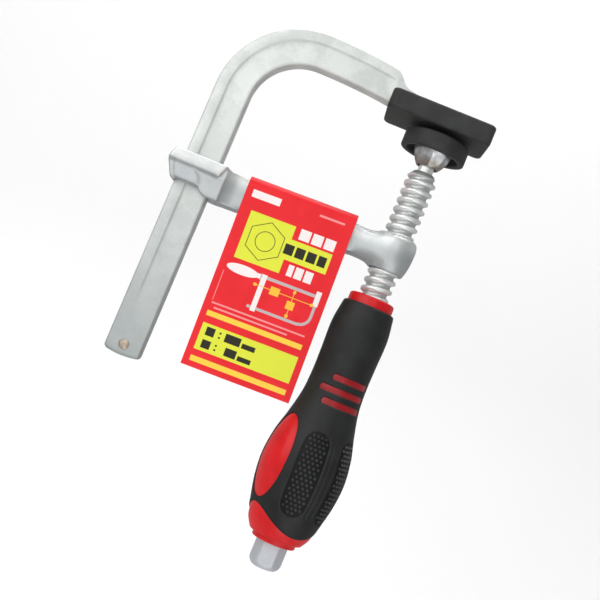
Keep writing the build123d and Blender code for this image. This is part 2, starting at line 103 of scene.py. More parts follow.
# %% The wire class
class Wire:
    """One output of a shader node. Sums with numbers or with other wires add Math nodes."""

    def __init__(self, tree, socket=None):
        self.tree = tree
        self.socket = socket

    def add(self, kind, settings=None, inputs=None, output=0):
        node = self.tree.nodes.new("ShaderNode" + kind)
        for name, value in (settings or {}).items():
            if name == "stops":
                while len(node.color_ramp.elements) < len(value):
                    node.color_ramp.elements.new(1)
                for stop, (place, colour) in zip(node.color_ramp.elements, value):
                    stop.position = place
                    stop.color = (*colour, 1)
            else:
                setattr(node, name, value)
        for name, value in (inputs or {}).items():
            if isinstance(value, Wire):
                self.tree.links.new(value.socket, node.inputs[name])
            else:
                node.inputs[name].default_value = value
        return Wire(self.tree, node.outputs[output])

    def math(self, operation, *others):
        return self.add("Math", {"operation": operation}, dict(enumerate((self, *others))))

    def __add__(self, other):
        return self.math("ADD", other)

    def __sub__(self, other):
        return self.math("SUBTRACT", other)

    def __rsub__(self, other):
        return self.add("Math", {"operation": "SUBTRACT"}, {0: other, 1: self})

    def __mul__(self, other):
        return self.math("MULTIPLY", other)

    def __lt__(self, other):
        return self.math("LESS_THAN", other)

    def __gt__(self, other):
        return self.math("GREATER_THAN", other)

    __radd__ = __add__
    __rmul__ = __mul__

    def size(self):
        """Without its sign."""
        return self.math("ABSOLUTE")

    def limited(self):
        """Held between 0 and 1."""
        return self.add("Clamp", None, {"Value": self})

    def stepped(self, low, high):
        """0 below one level and 1 above another, with a smooth slope between."""
        ends = {"Value": self, "From Min": low, "From Max": high}
        return self.add("MapRange", {"interpolation_type": "SMOOTHSTEP"}, ends)

    def tint(self, plain, full):
        """A colour that goes from plain to full as this wire goes from 0 to 1."""
        return self.add("Mix", {"data_type": "RGBA"}, {0: self, 6: plain, 7: full}, 2)


def rgb(red, green, blue):
    """A shader colour from the three screen values, 0 to 255."""
    def linear(value):
        value /= 255
        return value / 12.92 if value <= 0.04045 else ((value + 0.055) / 1.055) ** 2.4
    return (linear(red), linear(green), linear(blue), 1)


def new_finish(name, **fixed):
    """A material with its even sockets set, and the wire of its Object coordinates."""
    material = bpy.data.materials.new(name)
    material.use_nodes = True
    shader = material.node_tree.nodes["Principled BSDF"]
    for socket, value in fixed.items():
        shader.inputs[socket.replace("_", " ")].default_value = value
    place = Wire(material.node_tree).add("TexCoord", output=3)
    return material, place


def noise(place, per_mm, detail=3.0, stretch=(1, 1, 1)):
    """Soft cloudy noise with about this many lumps to the millimetre; stretch thins it along an axis."""
    scaled = place.add("Mapping", None, {"Vector": place, "Scale": tuple(s * per_mm / MM for s in stretch)})
    return place.add("TexNoise", None, {"Vector": scaled, "Scale": 1.0, "Detail": detail})


def connect(material, bump=None, height_mm=0.05, **varying):
    """Links what varies over the surface, and a bump of this many millimetres."""
    tree = material.node_tree
    shader = tree.nodes["Principled BSDF"]
    for socket, wire in varying.items():
        tree.links.new(wire.socket, shader.inputs[socket.replace("_", " ")])
    if bump:
        relief = bump.add("Bump", None, {"Height": bump, "Distance": height_mm * MM, "Strength": 1.0})
        tree.links.new(relief.socket, shader.inputs["Normal"])
    print(material.name, "has", len(tree.nodes), "nodes")
    return material


# %% [markdown]
# ## Zinc-plated steel
#
# The bar, the arm and the spindle are steel with a thin bright coat of zinc. Zinc is paler and bluer than
# bare steel and a little cloudy, because the bath leaves thicker and thinner patches, and the surface
# under it shows through: a fine sandy grain on the rolled bar, soft hammering on the forged arm, turning
# marks on the thread. One function with a few numbers gives all of them, so the family look stays.

# %% Where a point lies
def height_of(place):
    """The height of a point in millimetres."""
    return place.add("SeparateXYZ", None, {"Vector": place}, 2) * (1 / MM)


def axis_distance(place):
    """How far a point is from the spindle's axis, in millimetres."""
    flat = place.add("VectorMath", {"operation": "MULTIPLY"}, {0: place, 1: (1 / MM, 1 / MM, 0)})
    return flat.add("VectorMath", {"operation": "LENGTH"}, {0: flat}, 1)


def thread_roots(place):
    """How deep in the thread a point lies; down in the roots the colour is darkened as painted shade."""
    far = axis_distance(place)
    return far.stepped(4.3, 4.9) * (1 - far.stepped(5.0, 6.3)) * 0.5


# %% Zinc
def zinc(
    name, pale, dark, roughness, grain_mm, grain_height,
    cloud_mm=7, metal=0.9, hammer=0.0, painted_shade=None, painted_shade_colour=(150, 157, 160),
):
    """Cloudy zinc; the shade function of the place says how far the colour is darkened to the colour given
    with it, as painted shade.
    """
    material, place = new_finish(name, Metallic=metal)
    cloud = noise(place, 1 / cloud_mm, 2)
    fleck = noise(place, 1 / 1.3, 4)
    grain = noise(place, 1 / grain_mm, 2)
    shade = (cloud * 0.7 + fleck * 0.3).stepped(0.36, 0.64)
    rub = (cloud - 0.5) * 0.16 + (grain - 0.5) * 0.1 + roughness
    relief = grain + noise(place, 1 / 5, 1) * hammer
    colour = shade.tint(rgb(*dark), rgb(*pale))
    # painted shade: the colour goes towards the darker one where the function says
    if painted_shade:
        colour = painted_shade(place).tint(colour, rgb(*painted_shade_colour))
    return connect(
        material, bump=relief, height_mm=grain_height, Base_Color=colour, Roughness=rub.limited(),
    )


# Painted shade: the bar's colour darkens towards its lower end, standing in for the light falling off there.
bar_zinc = zinc(
    "bar_zinc", (224, 228, 225), (208, 212, 209), 0.5, 0.45, 0.035, cloud_mm=9, metal=0.65,
    painted_shade=lambda place: (1 - height_of(place).stepped(-140, -35)) * 0.6,
)
# Painted shade: the arm is darker below about 50 mm down than the band above it, standing in for how the
# light falls.
arm_zinc = zinc(
    "arm_zinc", (232, 234, 231), (214, 218, 218), 0.42, 0.9, 0.04, metal=0.72, hammer=1.6,
    painted_shade=lambda place: (1 - height_of(place).stepped(-55.5, -49.5)) * 0.62, painted_shade_colour=(160, 166, 170),
)
# Painted shade: the thread's colour darkens down in its roots.
screw_zinc = zinc(
    "screw_zinc", (252, 253, 252), (232, 236, 234), 0.36, 0.6, 0.02, cloud_mm=5, metal=0.7,
    painted_shade=thread_roots, painted_shade_colour=(150, 153, 151),
)
shaft_zinc = zinc("shaft_zinc", (200, 204, 210), (188, 193, 199), 0.42, 0.5, 0.015, cloud_mm=14, metal=0.3)
plain_steel = zinc("plain_steel", (178, 180, 178), (132, 134, 132), 0.36, 0.5, 0.02)
rivet_steel = zinc("rivet_steel", (206, 190, 172), (160, 142, 124), 0.42, 0.5, 0.06, cloud_mm=1.6, metal=0.6)

# %% [markdown]
# ## Rubber, hard plastic and nylon
#
# The two jaw caps and the grip are soft and dark. Soft rubber is never quite black: dust and the mould's
# fine texture lift it to a dark grey with a broad dull shine, so it gets a fine grain in the bump and
# slow clouds in colour and roughness. The red moulding is hard, smooth and glossy, with only the faint
# waviness of moulded plastic, and a clear coat stands for its polish.

# %% Rubbers and plastics
def moulded(
    name, pale, dark, roughness, grain_mm, grain_height, painted_shade=None, painted_shade_colour=None, **fixed,
):
    """Rubber or plastic with a fine grain; the painted shade works as it does for zinc."""
    material, place = new_finish(name, **fixed)
    cloud = noise(place, 1 / 8, 3)
    grain = noise(place, 1 / grain_mm, 2)
    shade = (cloud * 0.75 + grain * 0.25).stepped(0.35, 0.65)
    rub = roughness + (cloud - 0.5) * 0.2 + (grain - 0.5) * 0.08
    colour = shade.tint(rgb(*dark), rgb(*pale))
    # painted shade: the colour goes towards the darker one where the function says
    if painted_shade:
        colour = painted_shade(place).tint(colour, rgb(*painted_shade_colour))
    return connect(
        material, bump=grain, height_mm=grain_height, Base_Color=colour, Roughness=rub.limited(),
    )


cap_rubber = moulded("cap_rubber", (53, 55, 53), (41, 42, 41), 0.58, 0.35, 0.03, Specular_IOR_Level=0.35)
grip_rubber = moulded("grip_rubber", (34, 35, 35), (25, 26, 26), 0.5, 0.3, 0.02, Specular_IOR_Level=0.35)
# Painted shade: the sunk panels get a near-black copy of the grip's rubber, standing in for the shade between
# the studs.
shaded_panel_rubber = moulded("shaded_panel_rubber", (13, 14, 15), (7, 8, 9), 0.5, 0.6, 0.02, Specular_IOR_Level=0.25)
# Painted light: the studs get a paler copy of the grip's rubber, standing in for light on their tips.
lit_stud_rubber = moulded("lit_stud_rubber", (52, 54, 54), (40, 42, 42), 0.4, 0.6, 0.02, Specular_IOR_Level=0.5)
nylon = moulded("nylon", (226, 220, 200), (206, 200, 180), 0.45, 1.0, 0.02)


def stripe_heights(place):
    """1 at the heights of the handle's three bars, which lie deep in the grip; there the red is darkened as
    painted shade.
    """
    height = height_of(place)
    return (height > -125) * (height < -106)


# Painted shade: the red is darker at the three bars, which lie deep in the grip.
hard_red = moulded(
    "hard_red", (218, 10, 20), (202, 6, 14), 0.32, 3.0, 0.01,
    painted_shade=stripe_heights, painted_shade_colour=(152, 10, 20),
    Coat_Weight=0.12, Coat_Roughness=0.2, Specular_IOR_Level=0.35,
)

# %% [markdown]
# ## From a bmesh to a piece
#
# Every new piece is drawn in millimetres in a bmesh and then made an object in the same way: its faces are
# turned outwards, it is brought to metres, it gets its finish, and it is told which body it rides on. Its
# place stays in its mesh, so patterns that read Object coordinates don't move. Faces are shaded smooth,
# and the edges that have to look crisp are marked by their angle.

# %% Objects from bmeshes
def piece_from(bm, name, body, material, stands_for=(), outward=True):
    """Turns a bmesh in millimetres into a piece that rides on a body."""
    if outward:
        bmesh.ops.recalc_face_normals(bm, faces=bm.faces)
    bmesh.ops.scale(bm, vec=(MM, MM, MM), verts=bm.verts)
    mesh = bpy.data.meshes.new(name)
    bm.to_mesh(mesh)
    bm.free()
    mesh.materials.append(material)
    piece = bpy.data.objects.new(name, mesh)
    bpy.context.scene.collection.objects.link(piece)
    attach(piece, body)
    if stands_for:
        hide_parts(*stands_for)
    for face in mesh.polygons:
        face.use_smooth = True
    print(name, len(mesh.polygons), "faces")
    return piece


def sharpen(piece, angle=35):
    """Keeps edges sharper than this many degrees crisp under smooth shading."""
    piece.data.set_sharp_from_angle(angle=radians(angle))

# %% [markdown]
# ## The bar
#
# The real bar is rolled flat steel, bent hot into its hook, with a shallow channel rolled along both wide
# faces and a nose that tapers down into the jaw. A curve with a bevel profile could sweep it, but the
# channel has to fade out towards the free end and the bar has to get slimmer at the nose. So the section
# is a function of where it stands along the bar: one ring of points is drawn, its edges are extruded
# once for each next station, and each new ring is moved to its own section.

# %% A loft by extrusion
def loft(bm, rings):
    """Extrudes the first ring of points through all the others and closes both ends."""
    verts = [bm.verts.new(point) for point in rings[0]]
    edges = [bm.edges.new((verts[i - 1], verts[i])) for i in range(len(verts))]
    for ring in rings[1:]:
        drawn = set(bmesh.ops.extrude_edge_only(bm, edges=edges)["geom"])
        ahead = []
        for vert in verts:
            ahead.append(next(e.other_vert(vert) for e in vert.link_edges if e.other_vert(vert) in drawn))
        for vert, point in zip(ahead, ring):
            vert.co = point
        verts = ahead
        edges = [bm.edges.get((verts[i - 1], verts[i])) for i in range(len(verts))]
    bmesh.ops.holes_fill(bm, edges=[e for e in bm.edges if e.is_boundary])


# %% The bar's line
def smooth(value, low, high):
    """0 below low and 1 above high, with a smooth slope between."""
    share = min(max((value - low) / (high - low), 0), 1)
    return share * share * (3 - 2 * share)


def rolled_arc(start, end, count):
    """Points of an arc that leaves start level and droops to end, without start itself."""
    run = end[0] - start[0]
    drop = start[1] - end[1]
    radius = (run * run + drop * drop) / (2 * drop)
    steps = [run * (i + 1) / count for i in range(count)]
    return [(start[0] + x, start[1] - radius + sqrt(radius * radius - x * x)) for x in steps]


BAR_LEFT = lowest("frame_bar").x
BAR_FOOT = lowest("frame_bar").z
BAR_TOP = highest("frame_bar").z
BAR_WIDTH = 15.5
BAR_HALF = highest("frame_bar").y
BEND_OUTER = 37.5
BEND_INNER = 22.0
BEND_START = BAR_TOP - BEND_OUTER
THROAT_SIDE = BAR_LEFT + BAR_WIDTH
PLATE_TOP = highest("fixed_jaw_foot").z
STRAIGHT_STEPS = 29
BEND_STEPS = 30
NOSE_STEPS = 14

# the sheared end has its corners broken: heights above the end, and how far the sides draw in there
FOOT_ROUND = ((0, 1.1), (0.25, 0.55), (0.7, 0.2), (1.6, 0))
outer_line = [(BAR_LEFT + inset, BAR_FOOT + rise) for rise, inset in FOOT_ROUND]
inner_line = [(THROAT_SIDE - inset, BAR_FOOT + rise) for rise, inset in FOOT_ROUND]
foot_rise = FOOT_ROUND[-1][0]
for step in range(1, STRAIGHT_STEPS + 1):
    z = BAR_FOOT + foot_rise + (BEND_START - BAR_FOOT - foot_rise) * step / STRAIGHT_STEPS
    outer_line.append((BAR_LEFT, z))
    inner_line.append((THROAT_SIDE, z))
outer_centre = BAR_LEFT + BEND_OUTER
inner_centre = THROAT_SIDE + BEND_INNER
for step in range(1, BEND_STEPS + 1):
    turn = radians(90 * step / BEND_STEPS)
    outer_line.append((outer_centre - BEND_OUTER * cos(turn), BEND_START + BEND_OUTER * sin(turn)))
    inner_line.append((inner_centre - BEND_INNER * cos(turn), BEND_START + BEND_INNER * sin(turn)))
outer_line += rolled_arc(outer_line[-1], (-27.4, 19.0), NOSE_STEPS)
inner_line += rolled_arc(inner_line[-1], (-24.6, 3.7), NOSE_STEPS)
# the nose: a short steep shoulder down to a thin tongue along the jaw plate
outer_line += [(-26.0, 18.7), (-24.9, 17.8), (-23.6, 16.3), (-22.2, 14.7), (-20.6, 13.5), (-18.4, 12.8)]
inner_line += [(-24.2, 3.8), (-23.8, 4.1), (-23.3, 4.8), (-22.6, 5.6)]
inner_line += [(x, PLATE_TOP) for x in (-21.2, -18.4, -14.6, 0, 11.5)] + [(12.0, PLATE_TOP + 0.3)]
outer_line += [(-14.6, 12.0), (0, 10.5), (11.5, 9.4), (12.0, 9.0)]
print("the bar's line has", len(outer_line), "stations")

# %% The bar's section
EDGE = 0.9
RIM_SHARE = 0.31  # how much of the width the flat outer rim takes
CHANNEL_DEEP = 0.6
CHANNEL_FADE = (-122, -98)  # heights between which the channel runs out
NOSE_FADE = (-30, -25)  # and where it runs out towards the jaw
END_PINCH = 0.5
END_BULGE = 0.9
BULGE_RISE = 6


def bar_section(outer, inner, deep, pinch):
    """A ring round the bar: rounded edges, a flat outer rim, the channel, and a thin inner lip."""
    outer = Vector((outer[0], 0, outer[1]))
    across = Vector((inner[0], 0, inner[1])) - outer
    width = across.length
    across.normalize()
    half = BAR_HALF - pinch
    edge = min(EDGE, width / 4)
    turns = [(edge * (1 - cos(radians(t))), edge * (1 - sin(radians(t)))) for t in (0, 30, 60, 90)]
    rim = RIM_SHARE * width
    lip = 1.5 * edge
    bed = width - rim - lip
    face = [(a, half - b) for a, b in turns]
    face += [(rim - 0.3, half), (rim, half - 0.1 * deep)]
    face += [(rim + 0.5, half - 0.75 * deep), (rim + 1.1, half - deep)]
    face += [(rim + bed * t, half - deep * (1 - t ** 2.2)) for t in (0.25, 0.45, 0.65, 0.82, 0.93)]
    face += [(width - lip, half)] + [(width - b, half - a) for a, b in turns]
    ring = [(a, -y) for a, y in face] + [(a, y) for a, y in reversed(face)]
    return [outer + across * a + Vector((0, y, 0)) for a, y in ring]


rings = []
for outer, inner in zip(outer_line, inner_line):
    if outer[0] < outer_centre:
        fade = smooth(outer[1], *CHANNEL_FADE)
        pinch = END_PINCH * (1 - smooth(outer[1], BAR_FOOT - 0.3, BAR_FOOT + 1))
    else:
        fade = 1 - smooth(outer[0], *NOSE_FADE)
        pinch = 0
    rings.append(bar_section(outer, inner, CHANNEL_DEEP * fade, pinch))

bm = bmesh.new()
loft(bm, rings)
# the end bulges a little, as a sheared end does
for vert in bm.verts:
    if vert.co.z < BEND_START:
        off_middle = (vert.co.x - (BAR_LEFT + THROAT_SIDE) / 2) / (BAR_WIDTH / 2)
        near_end = 1 - smooth(vert.co.z, BAR_FOOT, BAR_FOOT + BULGE_RISE)
        vert.co.z += END_BULGE * off_middle ** 2 * near_end
bar = piece_from(bm, "bar", "frame", bar_zinc, stands_for=["frame_bar"])
sharpen(bar, 50)

# %% [markdown]
# ## The stop rivet
#
# A short rivet near the bar's free end keeps the arm from sliding off. It is a piece of wire set through
# a hole and peened over cold on both faces, which leaves a low dome with a slightly ragged rim. It is
# lathed: a half outline spun round its axis, then turned to lie across the bar.

# %% Lathe and rivet
def lathe(bm, outline, steps):
    """Spins an outline of (radius, height) points round the Z axis and closes it where it meets the axis."""
    verts = [bm.verts.new((radius, 0, height)) for radius, height in outline]
    edges = [bm.edges.new(pair) for pair in zip(verts, verts[1:])]
    bmesh.ops.spin(
        bm, geom=verts + edges, cent=(0, 0, 0), axis=(0, 0, 1), angle=2 * pi, steps=steps, use_merge=True,
    )
    bmesh.ops.remove_doubles(bm, verts=bm.verts, dist=0.0005)


def widen(vert, factor):
    """Moves a point out from the Z axis, or in, by a factor."""
    vert.co.x *= factor
    vert.co.y *= factor


RIVET_HEAD = (highest("stop_rivet").x - lowest("stop_rivet").x) / 2
RIVET_PROUD = highest("stop_rivet").y
rivet_middle = (lowest("stop_rivet") + highest("stop_rivet")) / 2
rivet_half = [
    (RIVET_HEAD * 0.75, BAR_HALF - 0.4), (RIVET_HEAD * 0.95, BAR_HALF), (RIVET_HEAD * 0.96, BAR_HALF + 0.15),
    (RIVET_HEAD * 0.86, BAR_HALF + 0.42), (RIVET_HEAD * 0.66, RIVET_PROUD - 0.24),
    (RIVET_HEAD * 0.4, RIVET_PROUD - 0.08), (RIVET_HEAD * 0.2, RIVET_PROUD - 0.02), (0, RIVET_PROUD),
]
bm = bmesh.new()
lathe(bm, [(r, -h) for r, h in reversed(rivet_half)] + rivet_half, 40)
# the hammer leaves the rim a little out of round
for vert in bm.verts:
    around = atan2(vert.co.y, vert.co.x)
    ragged = 1 + 0.03 * sin(3 * around) + 0.02 * sin(7 * around)
    widen(vert, ragged)
bmesh.ops.rotate(bm, cent=(0, 0, 0), matrix=Matrix.Rotation(pi / 2, 3, "X"), verts=bm.verts)
bmesh.ops.translate(bm, vec=rivet_middle, verts=bm.verts)
piece_from(bm, "peened_rivet", "frame", rivet_steel, stands_for=["stop_rivet"])

# %% [markdown]
# ## The fixed jaw's cap
#
# A soft cap is stretched over the steel plate under the bar's end so that the clamp doesn't mark the
# work. It is a box with generous upright corners, smaller radii along its faces, and an opening on top
# where the plate shows. A cube with bevels would do for the outside, but an inset as wide as the lip
# would cross itself at the corners, so the cap is lofted too: one rounded rectangle after another, from
# the bottom up the side, over the rim and down into the opening.

# %% Jaw cap
CORNER = 3.2
CAP_EDGE = 1.1
CORNER_STEPS = 8
LIP = 6.9  # from the cap's side to the opening
OPENING_CORNER = 2.0
cap_low = lowest("fixed_jaw_cap")
cap_high = highest("fixed_jaw_cap")


def rounded_rectangle(inset, corner, height):
    """A ring this far inside the cap's sides, with this corner radius."""
    middle = (cap_low + cap_high) / 2
    reach = (cap_high - cap_low) / 2
    ring = []
    for quarter, (x_side, y_side) in enumerate(((1, 1), (-1, 1), (-1, -1), (1, -1))):
        for step in range(CORNER_STEPS + 1):
            angle = pi / 2 * (quarter + step / CORNER_STEPS)
            x = middle.x + x_side * (reach.x - inset - corner) + corner * cos(angle)
            y = middle.y + y_side * (reach.y - inset - corner) + corner * sin(angle)
            ring.append(Vector((x, y, height)))
    return ring


turns = [radians(turn) for turn in range(0, 91, 15)]
rounding = [(CAP_EDGE * (1 - sin(turn)), CAP_EDGE * (1 - cos(turn))) for turn in turns]
cap_rings = [rounded_rectangle(inset, CORNER - inset, cap_low.z + rise) for inset, rise in rounding]
cap_rings += [rounded_rectangle(inset, CORNER - inset, cap_high.z - drop) for drop, inset in rounding]
cap_rings += [
    rounded_rectangle(LIP - 0.35, OPENING_CORNER + 0.35, cap_high.z),
    rounded_rectangle(LIP - 0.1, OPENING_CORNER + 0.1, cap_high.z - 0.1),
    rounded_rectangle(LIP, OPENING_CORNER, cap_high.z - 0.35),
    rounded_rectangle(LIP, OPENING_CORNER, PLATE_TOP - 0.1),
]
bm = bmesh.new()
loft(bm, cap_rings)
jaw_cap = piece_from(bm, "jaw_cap", "frame", cap_rubber, stands_for=["fixed_jaw_cap"])
sharpen(jaw_cap, 40)

# %% [markdown]
# ## The sliding arm
#
# The arm is one drop forging: a head with a square window that jams on the bar, a tapering arm and a
# barrel-shaped boss. Forgings have no sharp inside corners, because the metal has to flow in the die. The
# solid that arrives has crisp ones, so a copy of it is merged, rebuilt as an even skin of small squares
# by the Remesh modifier and then relaxed, which melts every corner into the next surface. The corners
# beside the boss are the deepest, so a wedge fills each one first and they are relaxed for longer.

# %% Forged arm
FORGE_GRID = 0.42
RELAX_ROUNDS = 12
WEDGE = ((-16.5, 4.4), (-2.2, 9.0), (-2.5, 7.9), (-5.6, 5.6), (-7.9, 0), (-16.5, 0))
WEDGE_LOW = -60.2
WEDGE_HIGH = -49.8
bm = bmesh.new()
bm.from_mesh(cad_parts["sliding_arm"].data)
bmesh.ops.scale(bm, vec=(1 / MM, 1 / MM, 1 / MM), verts=bm.verts)
bmesh.ops.remove_doubles(bm, verts=bm.verts, dist=0.001)
# a wedge on each face fills the corner between the arm and the boss, clear of the bore
for side in (1, -1):
    foot = [bm.verts.new((x, side * y, WEDGE_LOW)) for x, y in WEDGE]
    wedge = bmesh.ops.extrude_face_region(bm, geom=[bm.faces.new(foot)], use_keep_orig=True)["geom"]
    raised = [v for v in wedge if isinstance(v, bmesh.types.BMVert)]
    bmesh.ops.translate(bm, vec=(0, 0, WEDGE_HIGH - WEDGE_LOW), verts=raised)
bmesh.ops.recalc_face_normals(bm, faces=bm.faces)
forging = piece_from(
    bm, "forged_arm", "arm", arm_zinc, stands_for=["sliding_arm"], outward=False,
)
skin = forging.modifiers.new("even_skin", "REMESH")
skin.mode = "VOXEL"
skin.voxel_size = FORGE_GRID * MM
skin.use_smooth_shade = True
relax = forging.modifiers.new("relax", "SMOOTH")
relax.factor = 0.5
relax.iterations = RELAX_ROUNDS

# %% The boss grows out of the arm
BLEND_ALONG = (-17.2, -2)  # the stretch of the arm that is melted into the boss
BLEND_CLEAR = 7.7  # how far from the spindle's axis it starts, so that the bore stays round
BLEND_ROUNDS = 130
depsgraph = bpy.context.evaluated_depsgraph_get()
skin_mesh = bpy.data.meshes.new_from_object(forging.evaluated_get(depsgraph))
forging.modifiers.clear()
bm = bmesh.new()
bm.from_mesh(skin_mesh)
near_boss = [
    v for v in bm.verts
    if BLEND_ALONG[0] < v.co.x / MM < BLEND_ALONG[1] and BLEND_CLEAR < hypot(v.co.x, v.co.y) / MM
]
for repeat in range(BLEND_ROUNDS):
    bmesh.ops.smooth_vert(
        bm, verts=near_boss, factor=0.5, use_axis_x=True, use_axis_y=True, use_axis_z=True,
    )
bm.to_mesh(forging.data)
bm.free()
for face in forging.data.polygons:
    face.use_smooth = True
print("forged_arm has", len(forging.data.polygons), "faces,", len(near_boss), "points melted near the boss")

# %% [markdown]
# ## The spindle
#
# The spindle has a ball on top that the pad swivels on, a neck, a coarse right-hand thread with rounded
# crests, and a hexagonal shaft that runs through the handle and shows at the bottom for a spanner. The
# thread is the piece that people look at, so it is a true helix: one pitch of its profile is spun with a
# small lift per step, neighbouring turns are merged, and the ends are cut square and capped. Below the
# neck the crest is held under a cone, the way a lathe tool runs in.

# %% Thread
PITCH = 4.0
CREST = 6.6
ROOT = 5.0
NECK = 3.25
NECK_LOW = -17.9
SHOULDER = 1.25  # how far the thread's first edge stands out from the neck
RUN_IN = 0.75  # how fast the cone above the crest opens
THREAD_STEPS = 64
handle_top = highest("handle_core").z


def pitch_profile():
    """Radius and height over one pitch, with the root rounded into the flanks and the crest rounded off."""
    for share, lift in ((0, 0), (0.14, 0), (0.24, 0.06), (0.3, 0.22), (0.38, 0.68), (0.44, 0.9), (0.52, 1),
                        (0.68, 1), (0.76, 0.9), (0.82, 0.68), (0.9, 0.22), (0.96, 0.06), (1, 0)):
        yield ROOT + (CREST - ROOT) * lift, PITCH * share


bm = bmesh.new()
thread_turns = round((NECK_LOW - handle_top) / PITCH) + 2
profile = [bm.verts.new((r, 0, z + handle_top - 1.4 * PITCH)) for r, z in pitch_profile()]
edges = [bm.edges.new(pair) for pair in zip(profile, profile[1:])]
bmesh.ops.spin(
    bm, geom=profile + edges, cent=(0, 0, 0), axis=(0, 0, 1), dvec=(0, 0, PITCH / THREAD_STEPS),
    angle=2 * pi * thread_turns, steps=THREAD_STEPS * thread_turns, use_merge=False,
)
bmesh.ops.remove_doubles(bm, verts=bm.verts, dist=0.01)
for height, keep_below in ((NECK_LOW, True), (handle_top - 1, False)):
    bmesh.ops.bisect_plane(
        bm, geom=bm.verts[:] + bm.edges[:] + bm.faces[:], plane_co=(0, 0, height),
        plane_no=(0, 0, 1), clear_outer=keep_below, clear_inner=not keep_below,
    )
    rim = [e for e in bm.edges if e.is_boundary and all(abs(v.co.z - height) < 0.01 for v in e.verts)]
    bmesh.ops.holes_fill(bm, edges=rim)
for vert in bm.verts:
    radius = hypot(vert.co.x, vert.co.y)
    limit = NECK + SHOULDER + RUN_IN * (NECK_LOW - vert.co.z)
    if radius > limit:
        widen(vert, limit / radius)
print("the thread is", round(NECK_LOW - handle_top + 1, 1), "mm long")

# %% Ball, neck and shaft
ball_radius = 4.2
ball_height = highest("spindle").z - ball_radius
neck_outline = [
    (ball_radius * sin(radians(t)), ball_height + ball_radius * cos(radians(t))) for t in range(0, 129, 8)
]
neck_outline += [
    (NECK, ball_height - 3.6), (NECK, NECK_LOW + 0.3), (NECK + 0.35, NECK_LOW), (NECK + 0.35, NECK_LOW - 0.5),
    (0, NECK_LOW - 0.5),
]
lathe(bm, neck_outline, 48)

SPANNER_FLATS = 12.0
HEX_POINTS = 96
HEX_CORNER = 6.85  # the bar stock's corners are turned down to this radius
END_RADIUS = 4.6
END_TURNED = 2.9  # how far up the end is rounded
TURNED_STEPS = 8
shaft_low = lowest("spindle").z


def hexagon_ring(height, limit):
    """A ring on a hexagon with flats square to Y, held inside a circle."""
    ring = []
    for i in range(HEX_POINTS):
        angle = 2 * pi * i / HEX_POINTS
        from_flat = (angle + pi / 6 - pi / 2) % (pi / 3) - pi / 6
        radius = min(SPANNER_FLATS / 2 / cos(from_flat), limit)
        ring.append(Vector((radius * cos(angle), radius * sin(angle), height)))
    return ring


shaft = [hexagon_ring(handle_top + 0.4, 6.4), hexagon_ring(handle_top - 0.6, HEX_CORNER)]
shaft += [hexagon_ring(shaft_low + 12 - 1.0 * i, HEX_CORNER) for i in range(9)]
for step in range(TURNED_STEPS + 1):
    share = step / TURNED_STEPS
    corner = HEX_CORNER - (HEX_CORNER - END_RADIUS) * share ** 1.5
    shaft.append(hexagon_ring(shaft_low + END_TURNED * (1 - share) ** 1.4, corner))
shaft.append(hexagon_ring(shaft_low, END_RADIUS - 0.5))
loft(bm, shaft)
shaft_top = shaft_low + 14
for face in bm.faces:
    face.material_index = int(face.calc_center_median().z < shaft_top)
screw = piece_from(bm, "screw_spindle", "screw", screw_zinc, stands_for=["spindle"])
screw.data.materials.append(shaft_zinc)
sharpen(screw, 48)

# %% [markdown]
# ## The swivel pad
#
# The pad is a soft round cap over a steel disc, with a deep skirt, and a steel cup below the disc that
# holds the spindle's ball. The cap and the cup are both turned shapes, so both are spun from half
# outlines. The cup was crimped round the ball with a many-sided tool, which leaves shallow flats.

# %% Pad cap
pad_low = lowest("swivel_pad_cap").z
pad_high = highest("swivel_pad_cap").z
pad_radius = highest("swivel_pad_cap").x
disc_high = highest("pressure_disc").z
disc_low = lowest("pressure_disc").z
disc_radius = highest("pressure_disc").x
PAD_EDGE = 1.0
SKIRT = 11.25
SKIRT_EDGE = 0.6


def rounded(centre, radius, start, steps=5):
    """Points of a quarter round of an outline, from one angle on by a quarter turn clockwise."""
    angles = [radians(start - 90 * i / steps) for i in range(steps + 1)]
    return [(centre[0] + radius * cos(a), centre[1] + radius * sin(a)) for a in angles]


pad_outline = [(0, pad_high), (6, pad_high)]
pad_outline += rounded((pad_radius - PAD_EDGE, pad_high - PAD_EDGE), PAD_EDGE, 90)
pad_outline += rounded((pad_radius - SKIRT_EDGE, pad_low + SKIRT_EDGE), SKIRT_EDGE, 0)
pad_outline += rounded((SKIRT + SKIRT_EDGE, pad_low + SKIRT_EDGE), SKIRT_EDGE, -90)
pad_outline += [(SKIRT, disc_low - 0.3), (SKIRT - 0.1, disc_low), (disc_radius, disc_low)]
pad_outline += [(disc_radius, disc_high), (0, disc_high)]
bm = bmesh.new()
lathe(bm, pad_outline, 128)
pad_cap = piece_from(bm, "pad_cap", "pad", cap_rubber, stands_for=["swivel_pad_cap"])
sharpen(pad_cap, 60)

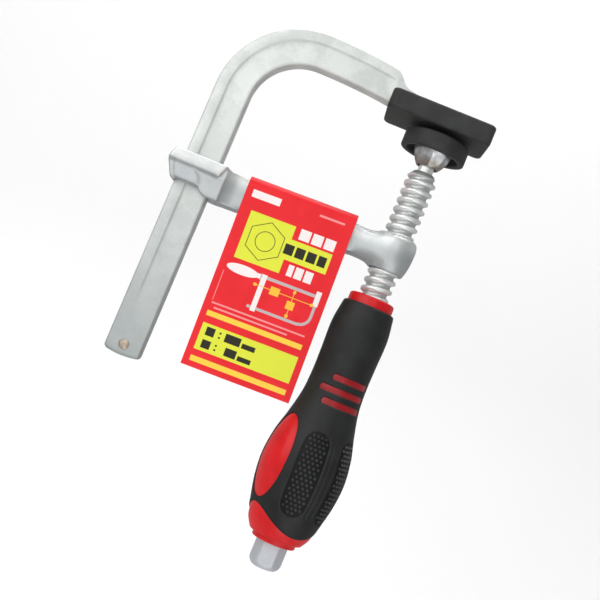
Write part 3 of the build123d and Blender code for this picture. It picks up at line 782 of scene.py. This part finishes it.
# %% Crimped cup
CUP_TOP = 8.2
CUP_MOUTH = 5.1
CUP_BORE = 5.72
CRIMPS = 8
CRIMP_SHARE = 0.95  # how nearly flat the crimps are
cup_low = lowest("swivel_cup").z
cup_outline = [
    (CUP_TOP, disc_low), (CUP_TOP, -6.6), (8.05, -8.2), (7.7, -9.6), (7.2, -11.0), (6.6, -12.3), (6.0, -13.5),
    (CUP_MOUTH, cup_low + 0.45), (CUP_MOUTH - 0.25, cup_low + 0.1), (CUP_MOUTH - 0.5, cup_low),
    (4.25, cup_low + 0.15), (4.15, cup_low + 0.5), (4.15, cup_low + 1.3), (5.3, cup_low + 2.6),
    (CUP_BORE, ball_height), (CUP_BORE, disc_low + 0.4), (5.5, disc_low),
]
bm = bmesh.new()
lathe(bm, cup_outline + [cup_outline[0]], 160)
for vert in bm.verts:
    angle = atan2(vert.co.y, vert.co.x) + pi / 2
    radius = hypot(vert.co.x, vert.co.y)
    depth = smooth(-vert.co.z, 7, 10.5) * (1 - smooth(-vert.co.z, 13.7, 14.6))
    wall = 5.45 if vert.co.z < -13 else 5.8  # the bore inside this radius stays round
    if radius > wall and depth > 0:
        off_flat = (angle * CRIMPS / (2 * pi)) % 1 - 0.5
        flat = radius * cos(pi / CRIMPS) / cos(2 * pi * off_flat / CRIMPS)
        widen(vert, 1 + (min(flat / radius, 1) - 1) * CRIMP_SHARE * depth)
print("the cup has", CRIMPS, "crimped flats")

# %% Cup finish
def cup_finish():
    """Zinc that turns brown towards the crimped mouth, where the plating was strained."""
    material, place = new_finish("cup_zinc", Metallic=0.9)
    height = height_of(place)
    patches = noise(place, 1 / 2.6, 3)
    strained = (1 - (height + (patches - 0.5) * 4).stepped(cup_low + 1.2, cup_low + 5)).limited()
    shade = noise(place, 1 / 3, 3).stepped(0.35, 0.65)
    clean = shade.tint(rgb(186, 188, 190), rgb(226, 228, 230))
    brown = patches.stepped(0.3, 0.7).tint(rgb(120, 104, 90), rgb(176, 164, 150))
    return connect(
        material, bump=noise(place, 1 / 0.8, 3), height_mm=0.05,
        Base_Color=(strained * 0.75).tint(clean, brown), Roughness=(0.26 + patches * 0.16).limited(),
    )


cup_zinc = cup_finish()
cup = piece_from(bm, "crimped_cup", "pad", cup_zinc, stands_for=["swivel_cup"])
sharpen(cup, 30)

# %% Finishes for the solids that stay
for node, finish in (
    ("fixed_jaw_foot", plain_steel), ("pressure_disc", plain_steel), ("snap_ring", plain_steel),
    ("handle_pin", plain_steel), ("ball_seat", nylon),
):
    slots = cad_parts[node].data.materials
    for index in range(len(slots)):
        slots[index] = finish
    print(node, "is now", finish.name)

# %% [markdown]
# ## The handle
#
# The handle is moulded twice: a hard glossy red core first, then a soft black grip round it. The core
# shows through the grip in two ovals, three bars on each side and the whole base. Both mouldings are
# spun from the same outline as dense skins and then pushed in and out by functions that say how far a
# point is inside a window. Where the grip rolls down under the core's surface, the line between black
# and red is a real edge between two pieces, so it stays sharp from any distance.

# %% The handle's outline
GRIP_OUTLINE = [
    (11.2, -79.8), (12.4, -89.1), (12.1, -102.1), (12.0, -112.1), (12.6, -121.0), (14.8, -131.3),
    (17.1, -140.0), (18.3, -150.4), (17.6, -159.9), (16.0, -167.7), (13.9, -175.9), (11.6, -180.0),
]
GRIP_WIDEST = max(radius for radius, height in GRIP_OUTLINE)
GRIP_TOP = highest("handle_grip").z


def spline_radius(height, points=GRIP_OUTLINE):
    """The outline's radius at a height, on a smooth curve through the points."""
    height = min(max(height, points[-1][1]), points[0][1])
    i = next(n for n in range(1, len(points)) if height >= points[n][1])
    (r1, z1), (r2, z2) = points[i - 1], points[i]
    r0, z0 = points[max(i - 2, 0)]
    r3, z3 = points[min(i + 1, len(points) - 1)]
    t = (height - z1) / (z2 - z1)
    m1 = (r2 - r0) / (z2 - z0) * (z2 - z1)
    m2 = (r3 - r1) / (z3 - z1) * (z2 - z1)
    return (r1 * (2 * t ** 3 - 3 * t ** 2 + 1) + m1 * (t ** 3 - 2 * t ** 2 + t)
            + r2 * (3 * t ** 2 - 2 * t ** 3) + m2 * (t ** 3 - t ** 2))


print("the grip is", round(2 * GRIP_WIDEST, 1), "mm across at its widest")

# %% Windows in the grip
STRIPE_HEIGHTS = (-110.8, -116.0, -121.1)
STRIPE_ENDS = ((-16, 79), (-34, 79), (-19, 79))  # the directions each bar runs between
STRIPE_THICK = 2.3
STRIP_TURN = 34  # the direction of the plain strip between two panels
OVAL_HEIGHT = -148.8
OVAL_TALL = 17.9
OVAL_WIDE = 9.1
BASE_LOW = -177.2
BASE_WAVE = 19.5
OUTSIDE = -9  # says only that a point is far from a window


def off_axis(angle, direction):
    """Degrees between an angle and a direction or its opposite, because the handle repeats each half turn."""
    turned = abs((angle - direction + 180) % 360 - 180)
    return min(turned, 180 - turned)


def inside_oval(angle, height, radius):
    """How far a point is inside an oval, in millimetres; the other windows are measured the same way."""
    turned = off_axis(angle, STRIP_TURN + 90)
    if turned > 60:
        return OUTSIDE
    across = radius * sin(radians(turned))
    scaled = hypot(across / OVAL_WIDE, (height - OVAL_HEIGHT) / OVAL_TALL)
    slope = hypot(across / OVAL_WIDE ** 2, (height - OVAL_HEIGHT) / OVAL_TALL ** 2) / max(scaled, 0.01)
    return (1 - scaled) / max(slope, 0.02)


def inside_stripe(angle, height, radius):
    best = OUTSIDE
    for middle, (start, end) in zip(STRIPE_HEIGHTS, STRIPE_ENDS):
        turned = off_axis(angle, (start + end) / 2)
        past_end = max(radians(turned - (end - start) / 2) * radius + STRIPE_THICK / 2, 0)
        best = max(best, STRIPE_THICK / 2 - hypot(past_end, height - middle))
    return best


def inside_base(angle, height, radius):
    across = min(radius * sin(radians(off_axis(angle, STRIP_TURN))), BASE_WAVE - 1)
    edge = BASE_LOW + BASE_WAVE - sqrt(BASE_WAVE ** 2 - across ** 2)
    return (edge - height) * cos(radians(20))


def inside_window(angle, height, radius):
    windows = (inside_oval, inside_stripe, inside_base)
    return max(inside(angle, height, radius) for inside in windows)


# %% Rows and directions
def heights(spans):
    """Heights from the first span's top down, at each span's own spacing."""
    rows = []
    for start, end, spacing in spans:
        count = max(round((start - end) / spacing), 1)
        rows += [start + (end - start) * i / count for i in range(count)]
    return rows + [spans[-1][1]]


def angle_of(point):
    """The direction of a point round the spindle: 0 degrees faces -Y, 90 degrees faces +X."""
    return degrees(atan2(point.x, -point.y))


def push_to(vert, radius):
    """Moves a point straight out from the spindle's axis, or in, to this radius."""
    widen(vert, radius / hypot(vert.co.x, vert.co.y))


# %% [markdown]
# ### The soft grip
#
# Between the windows the grip has four long panels with rows of small studs, each panel sunk a little
# with a groove round it. Two thin lines are cut down the plain strip between two panels, and they draw
# together and run out at both ends. Panels, grooves and lines are part of the same push of the skin.

# %% Panels and cut lines
PANEL_TURNS = (5, 63, 185, 243)
PANEL_TOP = -133.2
PANEL_LOW = -169.3
PANEL_HALF = 5.9
PANEL_SUNK = 0.3
GROOVE_DEEP = 0.4
LINES_APART = 1.35  # from the middle of the strip to each line
LINES_SPAN = (-134.0, -169.0)
LINES_DEEP = 0.34
CUT_WIDE = 0.3  # the half width of the groove and the lines
GRIP_ROLL = 1.3  # how deep the grip rolls down under a window


def inside_panel(angle, height, radius):
    turned = min(off_axis(angle, middle) for middle in PANEL_TURNS)
    across = radius * sin(radians(min(turned, 80)))
    half = PANEL_HALF * radius / GRIP_WIDEST
    ends = max(height - (PANEL_TOP - half), (PANEL_LOW + half) - height, 0)
    return half - hypot(across, ends)


def grip_surface(angle, height):
    """The grip's radius: the outline, the panels, the cut lines, and the roll down under each window."""
    radius = spline_radius(height)
    panel = inside_panel(angle, height, radius)
    groove = exp(-((panel - CUT_WIDE) / CUT_WIDE) ** 2)
    sunk = PANEL_SUNK * smooth(panel, 0.1, 0.9) + GROOVE_DEEP * groove
    reach = smooth(LINES_SPAN[0] - height, 0, 2.5) * smooth(height - LINES_SPAN[1], 0, 2.5)
    from_middle = radians(off_axis(angle, STRIP_TURN)) * radius
    off_line = abs(from_middle - LINES_APART * (0.35 + 0.65 * reach))
    line = LINES_DEEP * reach * exp(-(off_line / CUT_WIDE) ** 2)
    return radius - sunk - line - GRIP_ROLL * smooth(inside_window(angle, height, radius), -0.45, 0.5)


GRIP_STEPS = 420
GRIP_END = -178.6
COLLAR = 9.75
grip_rows = heights((
    (GRIP_TOP - 1.0, -108.8, 1.0), (-108.8, -123.2, 0.3), (-123.2, -130.5, 0.7), (-130.5, GRIP_END, 0.42),
))
grip_outline = [(COLLAR - 0.3, GRIP_TOP - 2), (COLLAR + 0.05, GRIP_TOP)]
grip_outline += [(10.6, GRIP_TOP), (11.0, GRIP_TOP - 0.35)]
grip_outline += [(spline_radius(z), z) for z in grip_rows]
grip_outline += [(9.6, GRIP_END), (9.2, GRIP_TOP - 8), grip_outline[0]]
bm = bmesh.new()
lathe(bm, grip_outline, GRIP_STEPS)
for vert in bm.verts:
    if hypot(vert.co.x, vert.co.y) > 10.8 and GRIP_END - 0.1 < vert.co.z < GRIP_TOP - 0.9:
        push_to(vert, grip_surface(angle_of(vert.co), vert.co.z))
# the panels' faces take the darker rubber, which is painted shade between the studs
for face in bm.faces:
    middle = face.calc_center_median()
    depth = inside_panel(angle_of(middle), middle.z, hypot(middle.x, middle.y))
    face.material_index = int(depth > 0.1)
grip = piece_from(bm, "soft_grip", "screw", grip_rubber, stands_for=["handle_grip"])
grip.data.materials.append(shaded_panel_rubber)

# %% [markdown]
# ### The studs
#
# The panels are filled with small blunt studs in a staggered pattern. There are hundreds of them, so
# each is only an eight-sided cone with its tip cut off. They stand square to the handle's surface.

# %% Studs
STUD_PITCH = 2.05
STUD_FOOT = 0.86
STUD_TIP = 0.32
STUD_TALL = 0.85
STUD_SUNK = 0.62


def stud_place(angle, height):
    """Where a stud stands and which way it points."""
    radius = spline_radius(height)
    slope = spline_radius(height + 0.5) - spline_radius(height - 0.5)
    outward = Vector((sin(radians(angle)), -cos(radians(angle)), -slope)).normalized()
    foot = Vector((radius * sin(radians(angle)), -radius * cos(radians(angle)), height))
    turn = outward.to_track_quat("Z", "Y").to_matrix().to_4x4()
    return Matrix.Translation(foot + outward * (STUD_TALL / 2 - STUD_SUNK)) @ turn


bm = bmesh.new()
count = 0
row_gap = STUD_PITCH * sqrt(3) / 2
for middle in PANEL_TURNS:
    for row in range(int((PANEL_TOP - PANEL_LOW) / row_gap) + 1):
        height = PANEL_TOP - 0.4 - row * row_gap
        radius = spline_radius(height)
        for place in range(-5, 6):
            across = (place + 0.5 * (row % 2)) * STUD_PITCH * radius / GRIP_WIDEST
            angle = middle + degrees(across / radius)
            if inside_panel(angle, height, radius) > 1.0:
                bmesh.ops.create_cone(
                    bm, cap_ends=True, segments=8, radius1=STUD_FOOT, radius2=STUD_TIP, depth=STUD_TALL,
                    matrix=stud_place(angle, height),
                )
                count += 1
print(count, "studs")
# the studs take the paler rubber, which is painted light
studs = piece_from(bm, "grip_studs", "screw", lit_stud_rubber)
sharpen(studs, 50)

# %% [markdown]
# ### The red core
#
# The core fills the windows almost to the outline and bulges a little in their middles. Between the
# windows it stays well under the grip. Its collar at the top and its flange at the bottom are plain
# turned shapes with small radii.

# %% Red core
CORE_DEEP = 1.8  # how far the core lies under the outline
CORE_RISE = 1.38  # how much of that it makes up under a window
CORE_BULGE = 0.34
CORE_STEPS = 300
FLANGE = 9.4
core_low = lowest("handle_core").z


def core_surface(angle, height):
    radius = spline_radius(height)
    window = inside_window(angle, height, radius)
    return radius - CORE_DEEP + CORE_RISE * smooth(window, -2.2, -0.9) + CORE_BULGE * smooth(window, 0, 3.5)


core_rows = heights((
    (-84.0, -108.8, 3.0), (-108.8, -123.2, 0.36), (-123.2, -130.5, 0.9), (-130.5, -179.6, 0.5),
))
core_outline = [(0, handle_top), (7.4, handle_top)]
core_outline += rounded((COLLAR - 1.1, handle_top - 1.1), 1.1, 90)
core_outline += [(COLLAR, GRIP_TOP - 2.5)]
core_outline += [(spline_radius(z) - CORE_DEEP, z) for z in core_rows]
core_outline += [(11.35, -180.25), (10.7, -180.6), (FLANGE + 0.1, -180.75), (FLANGE, -180.95)]
core_outline += rounded((FLANGE - 0.5, core_low + 0.5), 0.5, 0)
core_outline += [(7.6, core_low), (7.2, core_low + 0.4), (0, core_low + 0.4)]
bm = bmesh.new()
lathe(bm, core_outline, CORE_STEPS)
for vert in bm.verts:
    if hypot(vert.co.x, vert.co.y) > 10 and -179.7 < vert.co.z < -83.9:
        push_to(vert, core_surface(angle_of(vert.co), vert.co.z))
core = piece_from(bm, "red_core", "screw", hard_red, stands_for=["handle_core"])
sharpen(core, 50)

# %% [markdown]
# ## The printed card
#
# The card is one sheet folded over the arm, with two leaves that hang free and bow a little away from
# each other. The fold's section is drawn as a line of points, extruded across the card's width and
# subdivided, bowed by moving its points, and given the thickness of stiff paper at the end. Faces of the
# outer side take the print, and the inner side and the cut edges stay white.

# %% The card's size and directions
CARD_WIDE = 47.5
CARD_TALL = 83.0
CARD_LEAN = radians(1.9)
CARD_THICK = 0.45
FOLD = 3.4
card_half = highest("tag_card").y - 0.02
card_middle = (lowest("tag_card") + highest("tag_card")) / 2
card_across = Vector((cos(CARD_LEAN), 0, sin(CARD_LEAN)))
card_up = Vector((-sin(CARD_LEAN), 0, cos(CARD_LEAN)))
card_corner = card_middle - card_across * CARD_WIDE / 2 - card_up * CARD_TALL / 2
print("the card's lower left corner is at", [round(c, 1) for c in card_corner])

# %% Folded card
LEAF_ROWS = 28
LEAF_COLUMNS = 20
LEAF_BOW = 1.1
LEAF_TURN_IN = 1.3
LEAF_PRESS = 0.9
LEAF_RIPPLE = 0.22


def fold_point(degree):
    """A point of the fold: a quarter round at each shoulder and the flat middle of the top between them."""
    turn = radians(degree)
    shoulder = 0 if degree == 90 else (card_half - FOLD) * (1 if degree < 90 else -1)
    return shoulder + FOLD * cos(turn), CARD_TALL - FOLD + FOLD * sin(turn)


leaf = [(-card_half, (CARD_TALL - FOLD) * i / LEAF_ROWS) for i in range(LEAF_ROWS)]
fold = [fold_point(180 - 15 * i) for i in range(13)]
section = leaf + fold + [(-y, t) for y, t in reversed(leaf)]
bm = bmesh.new()
verts = [bm.verts.new((0, y, t)) for y, t in section]
edges = [bm.edges.new(pair) for pair in zip(verts, verts[1:])]
for column in range(LEAF_COLUMNS):
    drawn = bmesh.ops.extrude_edge_only(bm, edges=edges)["geom"]
    ahead = [g for g in drawn if isinstance(g, bmesh.types.BMVert)]
    bmesh.ops.translate(bm, vec=(CARD_WIDE / LEAF_COLUMNS, 0, 0), verts=ahead)
    fresh = set(ahead)
    edges = [g for g in drawn if isinstance(g, bmesh.types.BMEdge) and set(g.verts) <= fresh]
for vert in bm.verts:
    across, up = vert.co.x / CARD_WIDE, vert.co.z / CARD_TALL
    side = -1 if vert.co.y < 0 else 1
    hang = 1 - up
    bow = LEAF_BOW * sin(pi * across) * smooth(hang, 0.02, 0.5) - LEAF_TURN_IN * smooth(hang, 0.1, 1) ** 2
    ripple = LEAF_RIPPLE * sin(5.3 * across + 2 * hang + side) * hang
    vert.co.y += side * (bow - LEAF_PRESS + ripple) * smooth(hang, 0.16, 0.42)
bmesh.ops.recalc_face_normals(bm, faces=bm.faces)
front = max(bm.faces, key=lambda f: f.calc_center_median().z)
if front.normal.z < 0:
    bmesh.ops.reverse_faces(bm, faces=bm.faces)
printed = set(bm.faces)
bmesh.ops.solidify(bm, geom=bm.faces[:], thickness=CARD_THICK)
for face in bm.faces:
    face.material_index = 0 if face in printed else 1
turned = Matrix((card_across, Vector((0, 1, 0)), card_up)).transposed()
bmesh.ops.rotate(bm, cent=(0, 0, 0), matrix=turned, verts=bm.verts)
bmesh.ops.translate(bm, vec=(card_corner.x, 0, card_corner.z), verts=bm.verts)
print("the card has", len(printed), "printed faces of", len(bm.faces))

# %% [markdown]
# ### The print
#
# The print is all flat shapes, so it is drawn by masks: each shape is a test on two wires, the distance
# from the card's left edge and the height above its lower edge, both in millimetres. Colours are laid
# over each other in order, as a printer's plates are. Lettering is left out, and plain bars stand where
# lines of it would be; the picture of a clamp with its two measures stays, because it is generic.

# %% Print
PRINT_EDGE = 0.06


def card_print():
    """The outer side: shapes laid over red, the front leaf's and then the back leaf's."""
    material, place = new_finish("card_print", Specular_IOR_Level=0.3)
    local = place.add("VectorMath", {"operation": "SUBTRACT"}, {0: place, 1: tuple(card_corner * MM)})
    s = local.add("VectorMath", {"operation": "DOT_PRODUCT"}, {0: local, 1: tuple(card_across / MM)}, 1)
    t = local.add("VectorMath", {"operation": "DOT_PRODUCT"}, {0: local, 1: tuple(card_up / MM)}, 1)
    facing = place.add("SeparateXYZ", None, {"Vector": place}, 1) < 0

    def filled(past_edge):
        """1 where the distance past a shape's edge is negative."""
        return past_edge.stepped(PRINT_EDGE, -PRINT_EDGE)

    def within(wire, low, high):
        return filled((wire - (low + high) / 2).size() - (high - low) / 2)

    def bar(left, right, low, high):
        return within(s, left, right) * within(t, low, high)

    def bars(low, high, *ends):
        """Bars side by side at the same height, with the left and right end of each."""
        return [bar(left, right, low, high) for left, right in ends]

    def disc(x, z, wide, tall):
        across = (s - x) * (1 / wide)
        up = (t - z) * (1 / tall)
        return (across * across + up * up).stepped(1.06, 0.94)

    def ring(x, z, radius, thick):
        from_middle = ((s - x) * (s - x) + (t - z) * (t - z)).math("SQRT")
        return filled((from_middle - radius).size() - thick / 2)

    def any_of(masks):
        total = masks[0]
        for mask in masks[1:]:
            total = total.math("MAXIMUM", mask)
        return total

    plates = (
        # yellow rules
        (rgb(255, 212, 72), (bar(2.8, 44.5, 22.2, 24.4), bar(2.9, 44.8, 2.5, 4.8))),
        # lemon panels: the two joined at the top and the wide one below
        (rgb(228, 233, 62), (
            bar(5.1, 24.9, 48.6, 69.2), bar(24.5, 43.0, 54.8, 63.6), bar(2.9, 44.7, 7.6, 19.1),
        )),
        # black: bars in place of lines of writing
        (rgb(38, 36, 20), (
            *bars(57.0, 61.4, (23.4, 27.4), (28.3, 32.3), (33.2, 37.2), (38.1, 41.6)),
            *bars(14.3, 17.9, (5.2, 9.0), (13.6, 20.4)), bar(21.2, 27.0, 14.3, 16.4),
            *bars(8.9, 12.4, (5.2, 9.0), (15.4, 20.4)), bar(21.2, 27.0, 8.9, 10.9),
            *[disc(11.3, z, 0.45, 0.45) for z in (17.0, 15.1, 11.6, 9.7)],
        )),
        # white: bars in place of writing, and the picture's handle, sliding arm and pad
        (rgb(250, 240, 238), (
            *bars(64.6, 69.2, (27.4, 32.0), (32.9, 37.4), (38.3, 42.8)),
            *bars(48.8, 53.6, (27.8, 30.2), (31.0, 34.4), (35.2, 38.6)),
            disc(10.6, 44.6, 7.0, 2.1), bar(15.5, 18.4, 43.7, 45.7), bar(18.9, 21.1, 30.2, 46.0),
            bar(42.4, 44.6, 40.9, 47.3), bar(3.0, 15.4, 74.6, 77.8),
        )),
        # grey: the picture's spindle and bar
        (rgb(196, 184, 184), (
            bar(21.1, 42.4, 44.4, 45.7), bar(18.4, 18.9, 43.3, 46.1), bar(17.2, 18.9, 31.0, 32.2),
            bar(21.1, 39.4, 31.0, 32.2), bar(43.0, 44.2, 36.2, 40.9),
            ring(39.2, 36.2, 4.4, 1.2) * (1 - (s < 39.2)) * (t < 36.2),
        )),
        # pale lines of small print
        (rgb(250, 150, 150), (
            bar(3.2, 44.0, 27.6, 28.3), bar(4.8, 37.0, 25.7, 26.4), bar(3.0, 3.3, 29.0, 42.0),
            bar(32.4, 43.4, 76.6, 77.5),
        )),
        # orange measures with their end marks
        (rgb(255, 196, 60), (
            bar(17.4, 42.2, 40.85, 41.15), disc(17.4, 41.0, 0.8, 0.65), disc(42.2, 41.0, 0.8, 0.65),
            bar(33.75, 34.05, 33.0, 43.6), disc(33.9, 43.5, 0.65, 0.75), disc(33.9, 33.2, 0.7, 0.85),
            bar(24.0, 28.0, 39.2, 42.6), bar(32.2, 35.6, 36.0, 39.4),
        )),
    )
    colour = noise(place, 1 / 12, 2).stepped(0.3, 0.7).tint(rgb(232, 26, 36), rgb(240, 34, 44))
    for tone, masks in plates:
        colour = (any_of(masks) * facing).tint(colour, tone)
    # a nut in outline stands on the upper panel
    hexagon = any_of([
        ((s - 15.0) * cos(radians(a)) + (t - 58.9) * sin(radians(a))).size() for a in (0, 60, 120)
    ])
    outline = any_of([filled((hexagon - 7.2).size() - 0.16), ring(15.0, 58.9, 4.1, 0.32)])
    colour = (outline * facing).tint(colour, rgb(70, 66, 30))
    # the back leaf: a white panel with lines of small print
    back = 1 - facing
    colour = (bar(4, 43.5, 10, 58) * back).tint(colour, rgb(246, 240, 236))
    lines = any_of([bar(7, 40.5 - 2.5 * (row % 3), 50.4 - 4.6 * row, 51.6 - 4.6 * row) for row in range(8)])
    colour = (lines * back).tint(colour, rgb(120, 116, 116))
    # the fold shows a little worn paper
    rubbed = (t - CARD_TALL).size().stepped(1.6, 0.0) * noise(place, 1 / 0.8, 3).stepped(0.5, 0.7)
    colour = (rubbed * 0.12).tint(colour, rgb(250, 225, 222))
    fibre = noise(place, 1 / 0.4, 2)
    rub = 0.34 + (fibre - 0.5) * 0.12 + (noise(place, 1 / 15, 2) - 0.5) * 0.1
    return connect(material, bump=fibre, height_mm=0.012, Base_Color=colour, Roughness=rub.limited())


def bare_card():
    """The card's white inner side and cut edges, with faint fibres."""
    material, place = new_finish("bare_card")
    fibre = noise(place, 1 / 0.5, 4, (1, 1, 3))
    return connect(
        material, bump=fibre, height_mm=0.02,
        Base_Color=fibre.stepped(0.35, 0.65).tint(rgb(226, 222, 214), rgb(244, 242, 236)),
        Roughness=(0.8 + (fibre - 0.5) * 0.15).limited(),
    )


card = piece_from(
    bm, "folded_card", "tag", card_print(), stands_for=["tag_card"], outward=False,
)
card.data.materials.append(bare_card())
sharpen(card, 40)

# %% [markdown]
# ## The ground and the lamps
#
# A product is shown on a sweep, a sheet of white paper that runs along the floor and curves up into the
# wall, so that no corner shows behind it. An edge spun through a quarter turn and drawn out sideways gives
# it. Metal shows what it reflects, so the lamps are large and soft, and the sweep itself is kept out of
# reflections, or its lower edge would draw a hard line on the bar.

# %% The white sweep
SWEEP_FLOOR = -300
SWEEP_WALL = 400
SWEEP_RADIUS = 250
SWEEP_HALF = 1600
SWEEP_TALL = 1500

bm = bmesh.new()
floor_edge = [
    bm.verts.new((-SWEEP_HALF, -SWEEP_HALF, SWEEP_FLOOR)),
    bm.verts.new((-SWEEP_HALF, SWEEP_WALL - SWEEP_RADIUS, SWEEP_FLOOR)),
]
bm.edges.new(floor_edge)
bmesh.ops.spin(
    bm, geom=[floor_edge[1]], cent=(0, SWEEP_WALL - SWEEP_RADIUS, SWEEP_FLOOR + SWEEP_RADIUS),
    axis=(1, 0, 0), angle=pi / 2, steps=24, use_merge=False,
)
wall_foot = max(bm.verts, key=lambda v: v.co.z)
wall_top = bmesh.ops.extrude_vert_indiv(bm, verts=[wall_foot])["verts"]
bmesh.ops.translate(bm, vec=(0, 0, SWEEP_TALL), verts=wall_top)
drawn = bmesh.ops.extrude_edge_only(bm, edges=bm.edges[:])["geom"]
far_side = [g for g in drawn if isinstance(g, bmesh.types.BMVert)]
bmesh.ops.translate(bm, vec=(2 * SWEEP_HALF, 0, 0), verts=far_side)
bmesh.ops.scale(bm, vec=(MM, MM, MM), verts=bm.verts)
sweep_mesh = bpy.data.meshes.new("sweep")
bm.to_mesh(sweep_mesh)
bm.free()
sweep = bpy.data.objects.new("sweep", sweep_mesh)
bpy.context.scene.collection.objects.link(sweep)
for face in sweep_mesh.polygons:
    face.use_smooth = True
sweep.visible_glossy = False
paper = bpy.data.materials.new("white_paper")
paper.use_nodes = True
paper_shader = paper.node_tree.nodes["Principled BSDF"]
paper_shader.inputs["Base Color"].default_value = (0.93, 0.93, 0.93, 1)
paper_shader.inputs["Roughness"].default_value = 0.9
paper_shader.inputs["Specular IOR Level"].default_value = 0
sweep_mesh.materials.append(paper)
print("the sweep has", len(sweep_mesh.polygons), "faces")

# %% Lamps
def soft_lamp(name, place, aim, size, power):
    """A square area lamp in millimetres and watts."""
    data = bpy.data.lights.new(name, "AREA")
    data.size = size * MM
    data.energy = power
    lamp = bpy.data.objects.new(name, data)
    lamp.location = Vector(place) * MM
    lamp.rotation_euler = (Vector(aim) - Vector(place)).to_track_quat("-Z", "Y").to_euler()
    bpy.context.scene.collection.objects.link(lamp)
    print("lamp", name, power, "W")


MIDDLE = (-30, 0, -85)
soft_lamp("front_box", (-60, -900, 20), MIDDLE, 900, 2.0)
soft_lamp("key", (-560, -520, 260), MIDDLE, 700, 2.2)
soft_lamp("fill", (260, -460, -480), MIDDLE, 600, 1.5)
soft_lamp("top", (0, -60, 620), MIDDLE, 600, 1.0)
soft_lamp("ground_wash", (0, 100, 900), (0, 400, -200), 900, 6.4)

world = bpy.data.worlds.new("studio")
bpy.context.scene.world = world
world.use_nodes = True
world.node_tree.nodes["Background"].inputs["Color"].default_value = (1, 1, 1, 1)
world.node_tree.nodes["Background"].inputs["Strength"].default_value = 0.35
